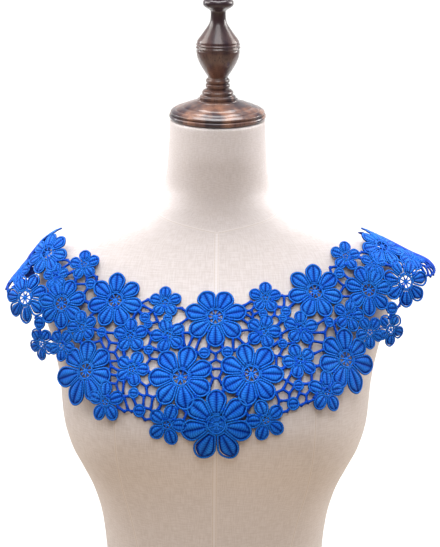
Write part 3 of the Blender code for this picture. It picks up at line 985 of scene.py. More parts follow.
def flat_shapes():
    """The outline of every petal, flower's middle and disc, as flat coordinates."""
    around = np.arange(OUTLINE_POINTS) * TAU / OUTLINE_POINTS
    found = []
    for (flower, mirror), patch in laid_flowers():
        for petal in [*petals_of(flower, mirror), round_petal(ring_radius(flower))]:
            edge, _ = petal_outline(petal, around)
            found.append(unrolled(patch.at(turned(edge[:, 0], edge[:, 1], petal.turn))[0]))
    for (disc, _), patch in laid_discs():
        edge = disc.radius * np.stack([np.cos(around), np.sin(around)], axis=-1)
        found.append(unrolled(patch.at(edge)[0]))
    return found


def flat_place(across, height, behind=False):
    angle = on_surface(across, height, True, behind)
    return unrolled(surface_point(np.array([angle]), np.array([height]), True))[0]


def net_outline():
    """The edge of the net, through the middles of the flowers along the collar's edge."""
    named = {flower.name: flower for flower in FLOWERS}
    down = [named[name] for name in NET_EDGE]
    up = down[-2:0:-1]
    found = []
    for flower, mirror in [(flower, False) for flower in down] + [(flower, True) for flower in up]:
        found.append(flat_place(*hung(flower.across, flower.height, mirror), flower.behind))
    return np.array(found)


def inside(loop, points):
    found = np.zeros(len(points), bool)
    for start, end in zip(loop, np.roll(loop, -1, axis=0)):
        crosses = (start[1] > points[:, 1]) != (end[1] > points[:, 1])
        rise = end[1] - start[1] or TINY
        at = start[0] + (points[:, 1] - start[1]) * (end[0] - start[0]) / rise
        found ^= crosses & (points[:, 0] < at)
    return found


def covered(shapes, points):
    """Which points lie under a petal, a flower's middle or a disc."""
    found = np.zeros(len(points), bool)
    for loop in shapes:
        boxed = (points >= loop.min(axis=0)) & (points <= loop.max(axis=0))
        near = ~found & boxed.all(axis=1)
        found[near] = inside(loop, points[near])
    return found


def openings(outline, shapes, cell_area):
    """Middles of the net's openings: fixed ones, and others spread evenly over what the flowers leave."""
    low = outline.min(axis=0)
    high = outline.max(axis=0)
    columns, rows = np.ceil((high - low) / NET_SAMPLE_STEP).astype(int)
    grid = np.stack(np.meshgrid(np.arange(columns), np.arange(rows)), axis=-1).reshape(-1, 2)
    grid = low + grid * NET_SAMPLE_STEP
    grid = grid[inside(outline, grid)]
    free = grid[~covered(shapes, grid)]
    fixed = []
    for opening, mirror in sides_of_collar(OPENINGS):
        fixed.append(flat_place(*hung(opening.across, opening.height, mirror)))
    fixed = np.array(fixed)
    rng = np.random.default_rng(NET_SEED)
    count = round(len(free) * NET_SAMPLE_STEP**2 / cell_area)
    moving = free[rng.choice(len(free), count, replace=False)]
    for _ in range(NET_ROUNDS):
        middles = np.concatenate([fixed, moving])
        nearest = ((middles**2).sum(axis=1) - 2 * free @ middles.T).argmin(axis=1)
        shares = np.maximum(np.bincount(nearest, minlength=len(middles)), 1)
        sums = [np.bincount(nearest, weights=column, minlength=len(middles)) for column in free.T]
        moving = (np.stack(sums, axis=1) / shares[:, None])[len(fixed) :]
    apart = np.linalg.norm(moving[:, None] - fixed, axis=2).min(axis=1)
    return np.concatenate([fixed, moving[apart > OPENINGS_APART]])


def ghosts(outline):
    """Middles outside the net's edge, so that a cord runs along that edge."""
    found = []
    for start, end in zip(outline, np.roll(outline, -1, axis=0)):
        way = unit(end - start)
        outward = np.array([-way[1], way[0]])
        count = max(2, round(np.linalg.norm(end - start) / GHOST_STEP))
        for i in range(count):
            place = start + (end - start) * (i + 0.5) / count
            found.append(place + outward * GHOST_OFFSET)
            found.append(place + outward * GHOST_OFFSET * GHOST_SECOND_ROW)
    found = np.array(found)
    return found[~inside(outline, found)]


def net_bars(middles, real):
    """The straight cords between openings, as pairs of ends. Those past the real ones lie outside."""
    corners, _, triangles, _, _, _ = delaunay_2d_cdt([Vector(place) for place in middles], [], [], 0, 1e-6)
    corners = np.array([tuple(corner) for corner in corners])
    centres = []
    beside = {}
    for index, (a, b, c) in enumerate(triangles):
        first, second = corners[b] - corners[a], corners[c] - corners[a]
        twice = 2 * (first[0] * second[1] - first[1] * second[0])
        x = second[1] * (first @ first) - first[1] * (second @ second)
        y = first[0] * (second @ second) - second[0] * (first @ first)
        centres.append(corners[a] + np.array([x, y]) / twice)
        for pair in ((a, b), (b, c), (c, a)):
            beside.setdefault(frozenset(pair), []).append(index)
    found = []
    for pair, pair_triangles in sorted(beside.items(), key=lambda item: sorted(item[0])):
        if len(pair_triangles) == 2 and min(pair) < real:
            found.append((centres[pair_triangles[0]], centres[pair_triangles[1]]))
    return found


def trimmed(bars, shapes):
    """The stretches of the bars that show, each run on a little under the flowers that it meets, and how
    broad each is: one that bridges a narrow gap is stitched over again."""
    starts, ends = np.array(bars).transpose(1, 0, 2)
    lengths = np.linalg.norm(ends - starts, axis=1)
    shares = np.linspace(0, 1, BAR_SAMPLES)
    points = starts[:, None] + (ends - starts)[:, None] * shares[:, None]
    free = ~covered(shapes, points.reshape(-1, 2)).reshape(-1, BAR_SAMPLES)
    found = []
    breadths = []
    for start, end, length, open_here in zip(starts, ends, lengths, free):
        changes = np.flatnonzero(np.diff([0, *open_here, 0]))
        for first, past in changes.reshape(-1, 2):
            low = shares[first] - (BAR_TUCK if first else BAR_OVERRUN) / length
            high = shares[past - 1] + (BAR_TUCK if past < BAR_SAMPLES else BAR_OVERRUN) / length
            if (high - low) * length > SHORTEST_BAR:
                found.append((start + (end - start) * low, start + (end - start) * high))
                bridge = first and past < BAR_SAMPLES
                short = max(1 - (high - low) * length / SHORT_BRIDGE, 0)
                breadths.append(1 + SHORT_BRIDGE_BREADTH * short if bridge else 1)
    return found, breadths


def add_bars(cloth, bars, breadths, radius, height):
    """Round cords that follow the lace from end to end."""
    mesh = cloth.template(bar_mesh, BAR_PARTS, CORD_SIDES)
    x, y, along = points_of(mesh).T
    level = np.rint(along * BAR_PARTS).astype(int)
    starts, ends = np.array(bars).transpose(1, 0, 2)
    shares = np.linspace(0, 1, BAR_PARTS + 1)
    flat = starts[:, None] + (ends - starts)[:, None] * shares[:, None]
    lines, normals = rolled(flat.reshape(-1, 2))
    lines = lines.reshape(-1, BAR_PARTS + 1, 3)
    normals = normals.reshape(-1, BAR_PARTS + 1, 3)
    asides = unit(np.cross(normals, np.gradient(lines, axis=1)))
    flare = 1 + BAR_FLARE * (2 * shares - 1) ** 2
    x = x * radius * flare[level]
    y = y * min(radius, BAR_THICKEST)
    for line, normal, aside, broad in zip(lines, normals, asides, breadths):
        length = np.linalg.norm(line[-1] - line[0])
        offset = aside[level] * x[:, None] * broad + normal[level] * (height + y)[:, None]
        # Painted shade on the cord's lower side.
        shade = np.clip(1 - y / BAR_THICKEST, 0, 1)
        cloth.stamp(mesh, line[level] + offset, along * length, shade)


# ---------------------------------------------------------------- shader maths


class Link:
    """A shader socket that Python's own operators work on, each adding its Math node."""

    def __init__(self, finish, socket):
        self.finish = finish
        self.socket = socket

    def math(self, operation, first, second=None):
        values = {0: first} if second is None else {0: first, 1: second}
        return self.finish.node("ShaderNodeMath", {"operation": operation}, values)

    def __add__(self, other):
        return self.math("ADD", self, other)

    def __radd__(self, other):
        return self.math("ADD", other, self)

    def __sub__(self, other):
        return self.math("SUBTRACT", self, other)

    def __rsub__(self, other):
        return self.math("SUBTRACT", other, self)

    def __mul__(self, other):
        return self.math("MULTIPLY", self, other)

    def __rmul__(self, other):
        return self.math("MULTIPLY", other, self)

    def __truediv__(self, other):
        return self.math("DIVIDE", self, other)

    def __pow__(self, other):
        return self.math("POWER", self, other)

    def sine(self):
        return self.math("SINE", self)

    def wave(self):
        """From 0 to 1 and back, once over each whole number."""
        return (self * TAU).sine() * 0.5 + 0.5

    def at_most(self, other):
        return self.math("MINIMUM", self, other)


class Finish:
    """A material and its Principled shader."""

    def __init__(self, name, constants):
        self.material = bpy.data.materials.new(name)
        self.material.use_nodes = True
        self.tree = self.material.node_tree
        self.shader = self.tree.nodes["Principled BSDF"]
        for label, value in constants.items():
            self.shader.inputs[label].default_value = value

    def put(self, socket, value):
        if isinstance(value, Link):
            self.tree.links.new(value.socket, socket)
        elif hasattr(value, "__len__") and socket.type == "RGBA":
            socket.default_value = (*value[:3], 1)
        else:
            socket.default_value = value

    def node(self, kind, settings, values, output=0):
        """A node with its settings, the values or links of its sockets, and the output that is read."""
        made = self.tree.nodes.new(kind)
        for label, value in settings.items():
            setattr(made, label, value)
        for label, value in values.items():
            self.put(made.inputs[label], value)
        return Link(self, made.outputs[output])

    def mixed(self, share, first, second):
        return self.node("ShaderNodeMix", {"data_type": "RGBA"}, {0: share, 6: first, 7: second}, 2)

    def measured(self, share, low, high):
        """A value that runs from 0 at low to 1 at high, held there past them."""
        values = {"Value": share, "From Min": low, "From Max": high}
        return self.node("ShaderNodeMapRange", {"clamp": True}, values)

    def attribute(self, name):
        return self.node("ShaderNodeAttribute", {"attribute_name": name}, {}, "Fac")

    def stretched(self, vector, stretch):
        return self.node("ShaderNodeMapping", {}, {"Vector": vector, "Scale": stretch})

    def place(self, stretch=(1, 1, 1)):
        return self.stretched(self.node("ShaderNodeTexCoord", {}, {}, "Object"), stretch)

    def part(self, vector, axis):
        return self.node("ShaderNodeSeparateXYZ", {}, {0: vector}, axis)

    def noise(self, vector, scale, detail=2, roughness=0.5):
        values = {"Vector": vector, "Scale": scale, "Detail": detail, "Roughness": roughness}
        return self.node("ShaderNodeTexNoise", {}, values, "Fac")

    def bumped(self, height, strength, distance):
        values = {"Height": height, "Strength": strength, "Distance": distance}
        self.put(self.shader.inputs["Normal"], self.node("ShaderNodeBump", {}, values))

    def coloured(self, colour):
        self.put(self.shader.inputs["Base Color"], colour)

    def roughened(self, value):
        self.put(self.shader.inputs["Roughness"], value)


# Stitches, and bundles of stitches, slant over a column by so much of their own spacing.
STITCH_SLANT = 0.9
STITCHES_IN_BUNDLE = 4.3
BUNDLE_SLANT = 0.5
THREAD_GLOSS_TINT = (0.12, 0.5, 1, 1)


def thread_finish(name, colour, painted_shade, light, pitch):
    """Satin-stitched thread: fine slanting stitches, painted shade where columns meet, and a soft sheen."""
    finish = Finish(name, {"Specular IOR Level": 0.27, "Sheen Weight": 0.03, "Sheen Roughness": 0.4})
    finish.shader.inputs["Sheen Tint"].default_value = (*light, 1)
    finish.shader.inputs["Specular Tint"].default_value = THREAD_GLOSS_TINT
    along = finish.attribute("along")
    groove = finish.attribute("groove")
    place = finish.place()
    drift = finish.noise(place, 60)
    strand = finish.noise(place, 800, 1)
    stitch = (along / pitch + groove * STITCH_SLANT + strand * 0.3).wave()
    bundle = (along / (pitch * STITCHES_IN_BUNDLE) + groove * BUNDLE_SLANT + strand * 0.7).wave()
    # Painted shade in the grooves and low on the cords, with the darker lines of stitches and bundles.
    dark = (groove**1.5 * 0.85 + (1 - stitch) * 0.08 + (1 - bundle) * 0.28).at_most(1)
    # Lighter at random and along bundles, and a painted highlight on the raised tops.
    lit = finish.measured(drift, 0.35, 0.7) * 0.35 + bundle * 0.25 + (1 - groove) * 0.4
    finish.coloured(finish.mixed(dark, finish.mixed(lit, colour, light), painted_shade))
    finish.roughened(0.4 + strand * 0.14 + groove * 0.2)
    finish.bumped(stitch * 0.5 + bundle * 0.8 + strand * 0.4, 0.5, 0.00025)
    return finish.material


def linen_finish(settings):
    """Plain-woven linen, stretched over the form: warp and weft with slubs."""
    finish = Finish("linen", {"Specular IOR Level": 0.25, "Sheen Weight": 0.3, "Sheen Roughness": 0.4})
    flat = finish.node("ShaderNodeUVMap", {"uv_map": "linen"}, {})
    pitch = settings.linen_pitch
    warp = (finish.part(flat, "X") * (TAU / pitch)).sine()
    weft = (finish.part(flat, "Y") * (TAU / pitch)).sine()
    weave = warp * weft * 0.5 + 0.5
    lengthwise = finish.noise(finish.stretched(flat, (9, 0.9, 1)), 110, 3)
    crosswise = finish.noise(finish.stretched(flat, (0.9, 9, 1)), 110, 3)
    slubs = lengthwise * 0.5 + crosswise * 0.5
    cloud = finish.noise(finish.place(), 6, 2)
    shade = (finish.measured(slubs, 0.42, 0.58) * 0.5 + cloud * 0.3 + (1 - weave) * 0.2).at_most(1)
    finish.coloured(finish.mixed(shade, settings.linen_light, settings.linen_dark))
    finish.roughened(0.82 + weave * 0.1)
    finish.bumped(weave * 0.6 + slubs * 0.8, 0.35, 0.00035)
    return finish.material


def seam_finish(settings):
    """Linen folded and stitched along a seam, shaded down in its stitching."""
    finish = Finish("linen_seam", {"Specular IOR Level": 0.25, "Sheen Weight": 0.15})
    along = finish.attribute("along")
    groove = finish.attribute("groove")
    stitch = (along / settings.seam_stitch).wave()
    weave = finish.noise(finish.place(), 700, 2)
    dark = (groove * (0.75 + stitch * 0.25) + weave * 0.1).at_most(1)
    finish.coloured(finish.mixed(dark, settings.linen_light, settings.seam_shade))
    finish.roughened(0.85 + weave * 0.1)
    finish.bumped(weave * 0.4 + stitch * (1 - groove) * 0.6, 0.4, 0.0003)
    return finish.material


# The heights, in metres, between which the wood's paler streaks appear downwards.
STREAKS_FADE = (0.76, 0.67)


def wood_finish(settings):
    """Dark stained hardwood, turned and varnished: long grain, pores, and paler streaks in the cap."""
    finish = Finish("turned_wood", {"Coat Weight": 0.5, "Coat Roughness": 0.12})
    grain = finish.noise(finish.place((1, 1, 0.12)), 160, 4, 0.6)
    figure = finish.noise(finish.place((1, 1, 0.3)), 26, 3, 0.55)
    pores = finish.noise(finish.place((1, 1, 0.06)), 900, 2)
    up = finish.part(finish.place(), "Z")
    streak = finish.measured(figure + grain * 0.35, 0.62, 0.9) * finish.measured(up, *STREAKS_FADE)
    base = finish.mixed(streak, settings.wood_dark, settings.wood_light)
    pore = finish.measured(pores, 0.56, 0.7)
    finish.coloured(finish.mixed(pore * 0.55, base, settings.wood_pore))
    finish.roughened(0.3 + grain * 0.15)
    finish.bumped(grain * 0.5 - pore * 0.5, 0.25, 0.0002)
    return finish.material


def paper_finish(name, colour):
    """Matt paper with a faint grain."""
    finish = Finish(name, {"Specular IOR Level": 0.1})
    grain = finish.noise(finish.place(), 300, 3)
    finish.coloured(finish.mixed(grain * 0.12, colour, [0.8 * part for part in colour]))
    finish.roughened(0.9 + grain * 0.05)
    return finish.material


# ---------------------------------------------------------------- settings


def colour_setting(name, description, default):
    return FloatVectorProperty(
        name=name, description=description, default=default, subtype="COLOR", min=0, max=1, size=3
    )


def length_setting(name, description, default, low, high):
    limits = {"min": low, "max": high, "precision": 2}
    return FloatProperty(name=name, description=description, default=default, **limits)


def power_setting(name, description, default):
    return FloatProperty(name=name, description=description, default=default, min=0, unit="POWER")


class LaceSettings(bpy.types.PropertyGroup):
    """Colours and sizes of the embroidery, in millimetres."""

    thread: colour_setting("Thread", "Colour of the satin stitch", (0.002, 0.095, 0.86))
    # The colour of the painted highlight on raised stitches, also the sheen's tint.
    thread_light: colour_setting("Thread in light", "Colour of the raised stitches", (0.03, 0.285, 1.0))
    # The colour of the painted shade where columns of stitch meet.
    thread_painted_shade: colour_setting(
        "Thread in grooves", "Colour where columns of stitch meet", (0.0004, 0.011, 0.22)
    )
    # The outline cords' blue, set lighter than the satin stitch for their sheen: partly a painted highlight.
    cord: colour_setting("Outline", "Colour of the outline cords", (0.006, 0.165, 1.0))
    net: colour_setting("Net", "Colour of the net's cords", (0.0015, 0.04, 0.36))
    # The colour of the painted shade low on the cords' sides.
    cord_painted_shade: colour_setting("Cords' sides", "Colour of the cords low down", (0.0004, 0.008, 0.15))
    stitch: length_setting("Stitch", "Distance from one stitch to the next", 0.5, 0.2, 2)
    outline_cord: length_setting("Outline cord", "Thickness of a petal's outline cord", 2.1, 0.6, 3)
    cord_height: length_setting("Cord height", "Height of a cord's middle over the inner face", 1.05, 0.5, 2)
    net_cord: length_setting("Net cord", "Thickness of the cords between the flowers", 2.6, 0.5, 4)
    net_cell: FloatProperty(
        name="Net opening",
        description="Area of one opening of the net in square millimetres",
        default=CELL_AREA,
        min=20,
        max=200,
    )
    pad_floor: length_setting("Pad floor", "Height of a pad's underside", 0.3, 0, 1)
    pad_rim: length_setting("Pad rim", "Height of a pad's rim", 0.65, 0.4, 2)
    pad_rise: length_setting("Pad rise", "How far a pad rises from its rim", 0.85, 0, 3)
    pad_ridge: length_setting("Pad ridge", "How far a column of stitch rises", 0.85, 0, 1)
    slit: length_setting("Slit", "Gap beside the outline of the open petals", 0.35, 0, 3)


class FormSettings(bpy.types.PropertyGroup):
    """Colours and fineness of the dress form."""

    linen_light: colour_setting("Linen", "Colour of the linen cover", (0.86, 0.812, 0.825))
    linen_dark: colour_setting("Linen shade", "Colour of its darker threads", (0.68, 0.62, 0.61))
    seam_shade: colour_setting("Seam", "Colour down in the seams", (0.68, 0.6, 0.55))
    linen_pitch: FloatProperty(
        name="Weave", description="Distance between threads", default=0.0011, min=0.0004, unit="LENGTH"
    )
    seam_stitch: length_setting("Seam stitch", "Length of a stitch of the seams", 3, 1, 6)
    around: IntProperty(name="Facets round", description="Facets round the form", default=144, min=24)
    levels: IntProperty(name="Levels", description="Rings of facets up the form", default=170, min=24)
    wood_dark: colour_setting("Stain", "Main colour of the wood", (0.038, 0.02, 0.031))
    wood_light: colour_setting("Streaks", "Paler streaks of the wood", (0.4, 0.2, 0.13))
    wood_pore: colour_setting("Pores", "Colour of the pores", (0.018, 0.007, 0.009))
    turned_steps: IntProperty(name="Turning", description="Facets round the wood", default=64, min=16)


class StudioSettings(bpy.types.PropertyGroup):
    """The floor, the lights and the camera."""

    paper: colour_setting("Paper", "Colour of the backdrop", (0.93, 0.93, 0.92))
    floor: colour_setting("Floor", "Colour of the floor under the form", (0.55, 0.45, 0.34))
    room: FloatProperty(name="Room light", description="Strength of the light all round", default=0.08, min=0)
    top: power_setting("Top light", "Power of the light overhead", 51)
    front: power_setting("Front light", "Power of the light high in front", 20)
    left: power_setting("Left light", "Power of the light high on the left", 8.5)
    right: power_setting("Right light", "Power of the light on the right", 13.5)
    low: power_setting("Low light", "Power of the warm light low in front", 0.1)
    backdrop: power_setting("Backdrop lights", "Power of each light on the backdrop", 70)
    lens: FloatProperty(name="Lens", description="Focal length", default=74.33, min=20, unit="CAMERA")


# ---------------------------------------------------------------- operators


def linked(name, shape, finish):
    """An object made from a bmesh, smooth and linked to the scene."""
    made = bpy.data.objects.new(name, kept_mesh(name, shape))
    made.data.materials.append(finish)
    bpy.context.scene.collection.objects.link(made)
    return made


def settle_piece(made, slot, *nodes):
    """Says what a piece rides on and hides the solids that it stands for. The slot is not used."""
    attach(made, "root")
    if nodes:
        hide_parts(*nodes)


def thread_finishes(settings):
    """The finishes of pads and of outline cords."""
    light, pitch = settings.thread_light, settings.stitch
    pads = thread_finish("satin_stitch", settings.thread, settings.thread_painted_shade, light, pitch)
    cords = thread_finish("outline_cord", settings.cord, settings.cord_painted_shade, light, pitch)
    return [pads, cords]


SIDE_LINE_SAMPLES = 2400
FORM_EDGE_FACETS = 4
# The linen's own map: how far its weave runs to each side of the front line, and up and down from half way.
LINEN_HALF_ROUND = math.pi * 0.14
LINEN_HALF_HEIGHT = 0.36


def form_heights(levels):
    """Heights of the form's rings, evenly spaced along its side line."""
    heights = np.linspace(0, NECK_TOP, SIDE_LINE_SAMPLES)
    run = run_along(heights, read(FORM_SECTIONS, "half_width", heights))
    return np.interp(np.linspace(0, run[-1], levels + 1), run, heights)


class LACE_OT_linen_body(bpy.types.Operator):
    """Make the form's body in its stretched linen cover"""

    bl_idname = "lace.linen_body"
    bl_label = "Linen body"

    def execute(self, context):
        settings = context.scene.dress_form
        around, levels = settings.around, settings.levels
        shape = bmesh.new()
        layer = shape.loops.layers.uv.new("linen")
        bmesh.ops.create_grid(shape, x_segments=around, y_segments=levels, size=1, calc_uvs=True)
        for face in shape.faces:
            for loop in face.loops:
                flat = loop.vert.co
                loop[layer].uv = (flat.x * LINEN_HALF_ROUND, flat.y * LINEN_HALF_HEIGHT)
        vertices = list(shape.verts)
        flat = np.array([vertex.co[:] for vertex in vertices])
        heights = form_heights(levels)[grid_line(flat[:, 1], levels)]
        for vertex, place in zip(vertices, form_point(flat[:, 0] * math.pi, heights)):
            vertex.co = Vector(place * MM)
        bmesh.ops.remove_doubles(shape, verts=shape.verts, dist=CLOSE)
        open_edges = [edge for edge in shape.edges if edge.is_boundary]
        bmesh.ops.holes_fill(shape, edges=open_edges)
        bmesh.ops.recalc_face_normals(shape, faces=shape.faces)
        bmesh.ops.bevel(
            shape,
            geom=open_edges,
            offset=FORM_EDGE_ROUNDING * MM,
            offset_type="OFFSET",
            segments=FORM_EDGE_FACETS,
            profile=0.5,
            affect="EDGES",
            material=-1,
        )
        made = linked("linen_body", shape, linen_finish(settings))
        settle_piece(made, "linen", "form_body")
        return {"FINISHED"}


# Cross-sections of a seam, with one line of stitching and with two.
SeamSide = namedtuple("SeamSide", "aside height groove")
SINGLE_SEAM = (
    SeamSide(-1.7, -0.2, 0),
    SeamSide(-0.8, 0.12, 0),
    SeamSide(0, -0.02, 1),
    SeamSide(0.8, 0.12, 0),
    SeamSide(1.7, -0.2, 0),
)
DOUBLE_SEAM = (
    SeamSide(-2.9, -0.2, 0),
    SeamSide(-2.2, 0.12, 0),
    SeamSide(-1.6, 0, 1),
    SeamSide(-1, 0.12, 0),
    SeamSide(1, 0.12, 0),
    SeamSide(1.6, 0, 1),
    SeamSide(2.2, 0.12, 0),
    SeamSide(2.9, -0.2, 0),
)


def seam_lines():
    """Each seam of the cover as its angles round the form, heights and cross-section."""
    found = []
    for turn, neck in ((0.0, NECK_SEAM[0]), (math.pi, NECK_SEAM[-1])):
        heights = np.linspace(SEAM_START, neck.height, CENTRE_SEAM_POINTS)
        found.append((np.full(CENTRE_SEAM_POINTS, turn), heights, DOUBLE_SEAM))
    for side in (1, -1):
        heights = np.linspace(SEAM_START, SHOULDER_SEAM_TOP, SHOULDER_SEAM_POINTS)
        found.append((np.full(SHOULDER_SEAM_POINTS, side * math.pi / 2), heights, SINGLE_SEAM))
        for behind in (False, True):
            heights = np.linspace(SEAM_START, PRINCESS_SEAM[-1].height, PRINCESS_SEAM_POINTS)
            across = side * read(PRINCESS_SEAM, "across", heights)
            angles = np.array([on_surface(x, h, False, behind) for x, h in zip(across, heights)])
            found.append((angles, heights, SINGLE_SEAM))
    turns = np.linspace(-math.pi, math.pi, NECK_SEAM_POINTS)
    heights = read(NECK_SEAM, "height", np.degrees(np.abs(turns)))
    found.append((turns, heights, SINGLE_SEAM))
    return found


class LACE_OT_seams(bpy.types.Operator):
    """Sew the seams of the linen cover"""

    bl_idname = "lace.seams"
    bl_label = "Seams"

    def execute(self, context):
        cloth = Cloth()
        for angles, heights, profile in seam_lines():
            line = form_point(angles, heights)
            normal = surface_normal(angles, heights)
            way = unit(np.gradient(line, axis=0))
            aside = unit(np.cross(normal, way))
            run = np.concatenate([[0], np.cumsum(np.linalg.norm(np.diff(line, axis=0), axis=1))])
            columns, rows = len(profile) - 1, len(line) - 1
            mesh = cloth.template(strip_mesh, columns, rows)
            flat = points_of(mesh)
            row = grid_line(flat[:, 1], rows)
            sides = np.array(profile)[grid_line(flat[:, 0], columns)]
            points = line[row] + aside[row] * sides[:, :1] + normal[row] * sides[:, 1:2]
            cloth.stamp(mesh, points, run[row], sides[:, 2])
        made = cloth.made("linen_seams", [seam_finish(context.scene.dress_form)])
        settle_piece(made, "linen")
        return {"FINISHED"}


PROFILE_FINENESS = 3
TURNED_SHARP_DEG = 50


def turn_profile(name, profile, steps, finish):
    """A profile made smooth, spun round the neck's leaning axis and closed on it."""
    radii, heights = np.array(profile).T
    run = run_along(radii, heights)
    rows = np.arange(len(run))
    wanted = np.interp(np.linspace(0, rows[-1], PROFILE_FINENESS * rows[-1] + 1), rows, run)
    outer = list(zip(curve_through(run, radii, wanted), curve_through(run, heights, wanted)))
    ends = [(0, outer[-1][1])] if outer[-1][0] > CLOSE else []
    shape = bmesh.new()
    line = [(0, outer[0][1]), *outer, *ends]
    points = [shape.verts.new((radius * MM, 0, height * MM)) for radius, height in line]
    edges = [shape.edges.new(pair) for pair in zip(points, points[1:])]
    spun(shape, points + edges, steps)
    bmesh.ops.remove_doubles(shape, verts=shape.verts, dist=CLOSE)
    bmesh.ops.recalc_face_normals(shape, faces=shape.faces)
    place = Matrix.Translation(Vector((0, NECK_TOP_CENTRE_Y, NECK_TOP)) * MM)
    lean = Matrix.Rotation(math.radians(NECK_LEAN_DEG), 4, "X")
    bmesh.ops.transform(shape, matrix=place @ lean, verts=shape.verts)
    made = linked(name, shape, finish)
    made.data.set_sharp_from_angle(angle=math.radians(TURNED_SHARP_DEG))
    return made


class LACE_OT_turned_wood(bpy.types.Operator):
    """Turn the neck cap and the finial"""

    bl_idname = "lace.turned_wood"
    bl_label = "Neck cap and finial"

    def execute(self, context):
        settings = context.scene.dress_form
        wood = wood_finish(settings)
        turnings = (("turned_cap", CAP_PROFILE, "neck_cap"), ("turned_finial", FINIAL_PROFILE, "finial"))
        for name, profile, node in turnings:
            made = turn_profile(name, profile, settings.turned_steps, wood)
            settle_piece(made, "wood", node)
        return {"FINISHED"}


class LACE_OT_flowers(bpy.types.Operator):
    """Embroider the collar's daisies, blossoms and discs"""

    bl_idname = "lace.flowers"
    bl_label = "Flowers and discs"

    def execute(self, context):
        settings = context.scene.lace_thread
        cloth = Cloth()
        for (flower, mirror), patch in laid_flowers():
            add_flower(cloth, patch, flower, mirror, settings)
        for (disc, _), patch in laid_discs():
            add_disc(cloth, patch, disc, settings)
        made = cloth.made("guipure_flowers", thread_finishes(settings))
        settle_piece(made, "lace", "lace_collar")
        return {"FINISHED"}


class LACE_OT_net(bpy.types.Operator):
    bl_idname = "lace.net"
    bl_label = "Net"

    def execute(self, context):
        settings = context.scene.lace_thread
        cloth = Cloth()
        outline = net_outline()
        shapes = flat_shapes()
        real = openings(outline, shapes, settings.net_cell)
        bars, breadths = trimmed(net_bars(np.concatenate([real, ghosts(outline)]), len(real)), shapes)
        add_bars(cloth, bars, breadths, settings.net_cord / 2, settings.cord_height)
        # The net's cords get painted shade low down and the thread's blue as a painted highlight on top.
        cords = thread_finish("net_cord", settings.net, settings.cord_painted_shade, settings.thread, settings.stitch)
        made = cloth.made("guipure_net", [cords])
        settle_piece(made, "lace", "lace_collar")
        return {"FINISHED"}


CAMERA_PLACE = (0.0035, -1.0893, 0.6646)
CAMERA_DOWN_DEG = 8
CAMERA_ROLL_DEG = 0.45
SENSOR_WIDTH = 36
CLIP_START = 0.05
# The floor under the form, and the backdrop behind it: flat, then bent up, then upright.
FLOOR_HALF = 5
FLOOR_BACK = 0.5
SWEEP_FLAT = 1.5
SWEEP_BEND = 2
SWEEP_UPRIGHT = 3
SWEEP_LENGTH = SWEEP_FLAT + SWEEP_BEND * math.pi / 2 + SWEEP_UPRIGHT
SWEEP_STEPS = 48

ROOM_COLOUR = (1, 0.995, 0.985, 1)
COOL = (1, 0.99, 0.985)
WARM = (1, 0.955, 0.9)
WHITE = (1, 1, 1)
EMBER = (1, 0.62, 0.3)
Lamp = namedtuple("Lamp", "power place target size colour")
LAMPS = (
    Lamp("top", (0, 0.05, 2.3), (0, 0.05, 0.6), 1.5, COOL),
    Lamp("front", (0, -1.5, 2.1), (0, 0, 0.5), 1.4, COOL),
    Lamp("left", (-1, 0, 1.35), (0, 0, 0.95), 0.8, WARM),
    Lamp("right", (1.4, 0.4, 1.4), (0, 0, 0.6), 1, WARM),
    Lamp("backdrop", (-2.4, 1.2, 1.6), (0, 4.2, 0.9), 1.4, WHITE),
    Lamp("backdrop", (2.4, 1.2, 1.6), (0, 4.2, 0.9), 1.4, WHITE),
    Lamp("low", (0, -0.7, 0.08), (0, 0, 0.33), 0.5, EMBER),
)


def light_lamp(lamp, power):
    """A round soft light, turned to its target."""
    light = bpy.data.lights.new(f"{lamp.power}_light", "AREA")
    light.shape = "DISK"
    light.size = lamp.size
    light.energy = power
    light.color = lamp.colour
    made = bpy.data.objects.new(light.name, light)
    made.location = lamp.place
    way = Vector(lamp.target) - Vector(lamp.place)
    made.rotation_euler = way.to_track_quat("-Z", "Y").to_euler()
    bpy.context.scene.collection.objects.link(made)


def sweep_place(flat):
    """Where a place of a square lies on the backdrop that sweeps up behind the floor."""
    run = (flat.y + 1) / 2 * SWEEP_LENGTH
    turn = min(max(run - SWEEP_FLAT, 0) / SWEEP_BEND, math.pi / 2)
    rise = max(run - SWEEP_FLAT - SWEEP_BEND * math.pi / 2, 0)
    y = FLOOR_BACK + min(run, SWEEP_FLAT) + SWEEP_BEND * math.sin(turn)
    return Vector((flat.x * FLOOR_HALF, y, SWEEP_BEND * (1 - math.cos(turn)) + rise))


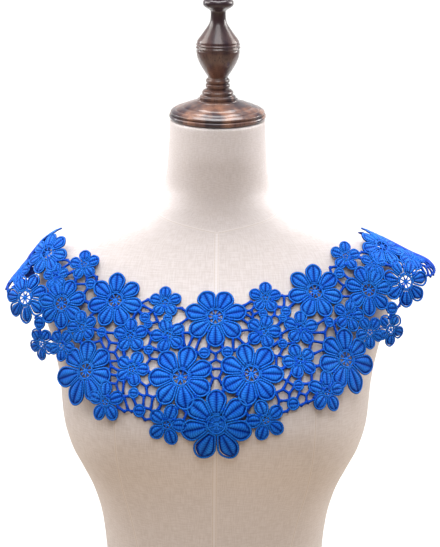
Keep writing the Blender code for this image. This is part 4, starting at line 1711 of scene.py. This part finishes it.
class LACE_OT_studio(bpy.types.Operator):
    """Set up the floor with its backdrop, the lights and the camera"""

    bl_idname = "lace.studio"
    bl_label = "Studio"

    def execute(self, context):
        settings = context.scene.lace_studio
        scene = context.scene
        shape = bmesh.new()
        bmesh.ops.create_grid(shape, x_segments=1, y_segments=SWEEP_STEPS, size=1)
        for vertex in shape.verts:
            vertex.co = sweep_place(vertex.co)
        paper = linked("studio_paper", shape, paper_finish("studio_paper", settings.paper))
        shape = bmesh.new()
        raised = Matrix.Translation((0, FLOOR_BACK - FLOOR_HALF, 0))
        bmesh.ops.create_grid(shape, x_segments=1, y_segments=1, size=FLOOR_HALF, matrix=raised)
        floor = linked("studio_floor", shape, paper_finish("studio_floor", settings.floor))
        world = bpy.data.worlds.new("studio_room")
        world.use_nodes = True
        light = world.node_tree.nodes["Background"]
        light.inputs["Color"].default_value = ROOM_COLOUR
        light.inputs["Strength"].default_value = settings.room
        scene.world = world
        for lamp in LAMPS:
            light_lamp(lamp, getattr(settings, lamp.power))
        scene.view_settings.view_transform = "Standard"
        data = bpy.data.cameras.new("camera")
        data.lens = settings.lens
        data.sensor_width = SENSOR_WIDTH
        data.clip_start = CLIP_START
        camera = bpy.data.objects.new("camera", data)
        down = math.radians(CAMERA_DOWN_DEG)
        roll = math.radians(CAMERA_ROLL_DEG)
        tilt = Matrix.Rotation(math.pi / 2 - down, 4, "X") @ Matrix.Rotation(roll, 4, "Z")
        camera.matrix_world = Matrix.Translation(CAMERA_PLACE) @ tilt
        scene.collection.objects.link(camera)
        scene.camera = camera
        return {"FINISHED"}


class LACE_PT_sidebar(bpy.types.Panel):
    """Lists what the collar and its form are made of."""

    bl_label = "Lace Collar"
    bl_idname = "LACE_PT_sidebar"
    bl_space_type = "VIEW_3D"
    bl_region_type = "UI"
    bl_category = "Lace Collar"

    def draw(self, context):
        for operator in OPERATORS:
            self.layout.operator(operator.bl_idname)
        for group in GROUPS:
            settings = getattr(context.scene, group)
            box = self.layout.box()
            for name in settings.__annotations__:
                box.prop(settings, name)


OPERATORS = (
    LACE_OT_studio,
    LACE_OT_linen_body,
    LACE_OT_seams,
    LACE_OT_turned_wood,
    LACE_OT_flowers,
    LACE_OT_net,
)
GROUPS = {"lace_thread": LaceSettings, "dress_form": FormSettings, "lace_studio": StudioSettings}


def register():
    for made in (*GROUPS.values(), *OPERATORS, LACE_PT_sidebar):
        bpy.utils.register_class(made)
    for name, group in GROUPS.items():
        setattr(bpy.types.Scene, name, PointerProperty(type=group))


def unregister():
    for name in GROUPS:
        delattr(bpy.types.Scene, name)
    for made in (LACE_PT_sidebar, *reversed(OPERATORS), *GROUPS.values()):
        bpy.utils.unregister_class(made)


def main():
    register()
    for operator in OPERATORS:
        group, name = operator.bl_idname.split(".")
        getattr(getattr(bpy.ops, group), name)()


if __name__ == "__main__":
    main()
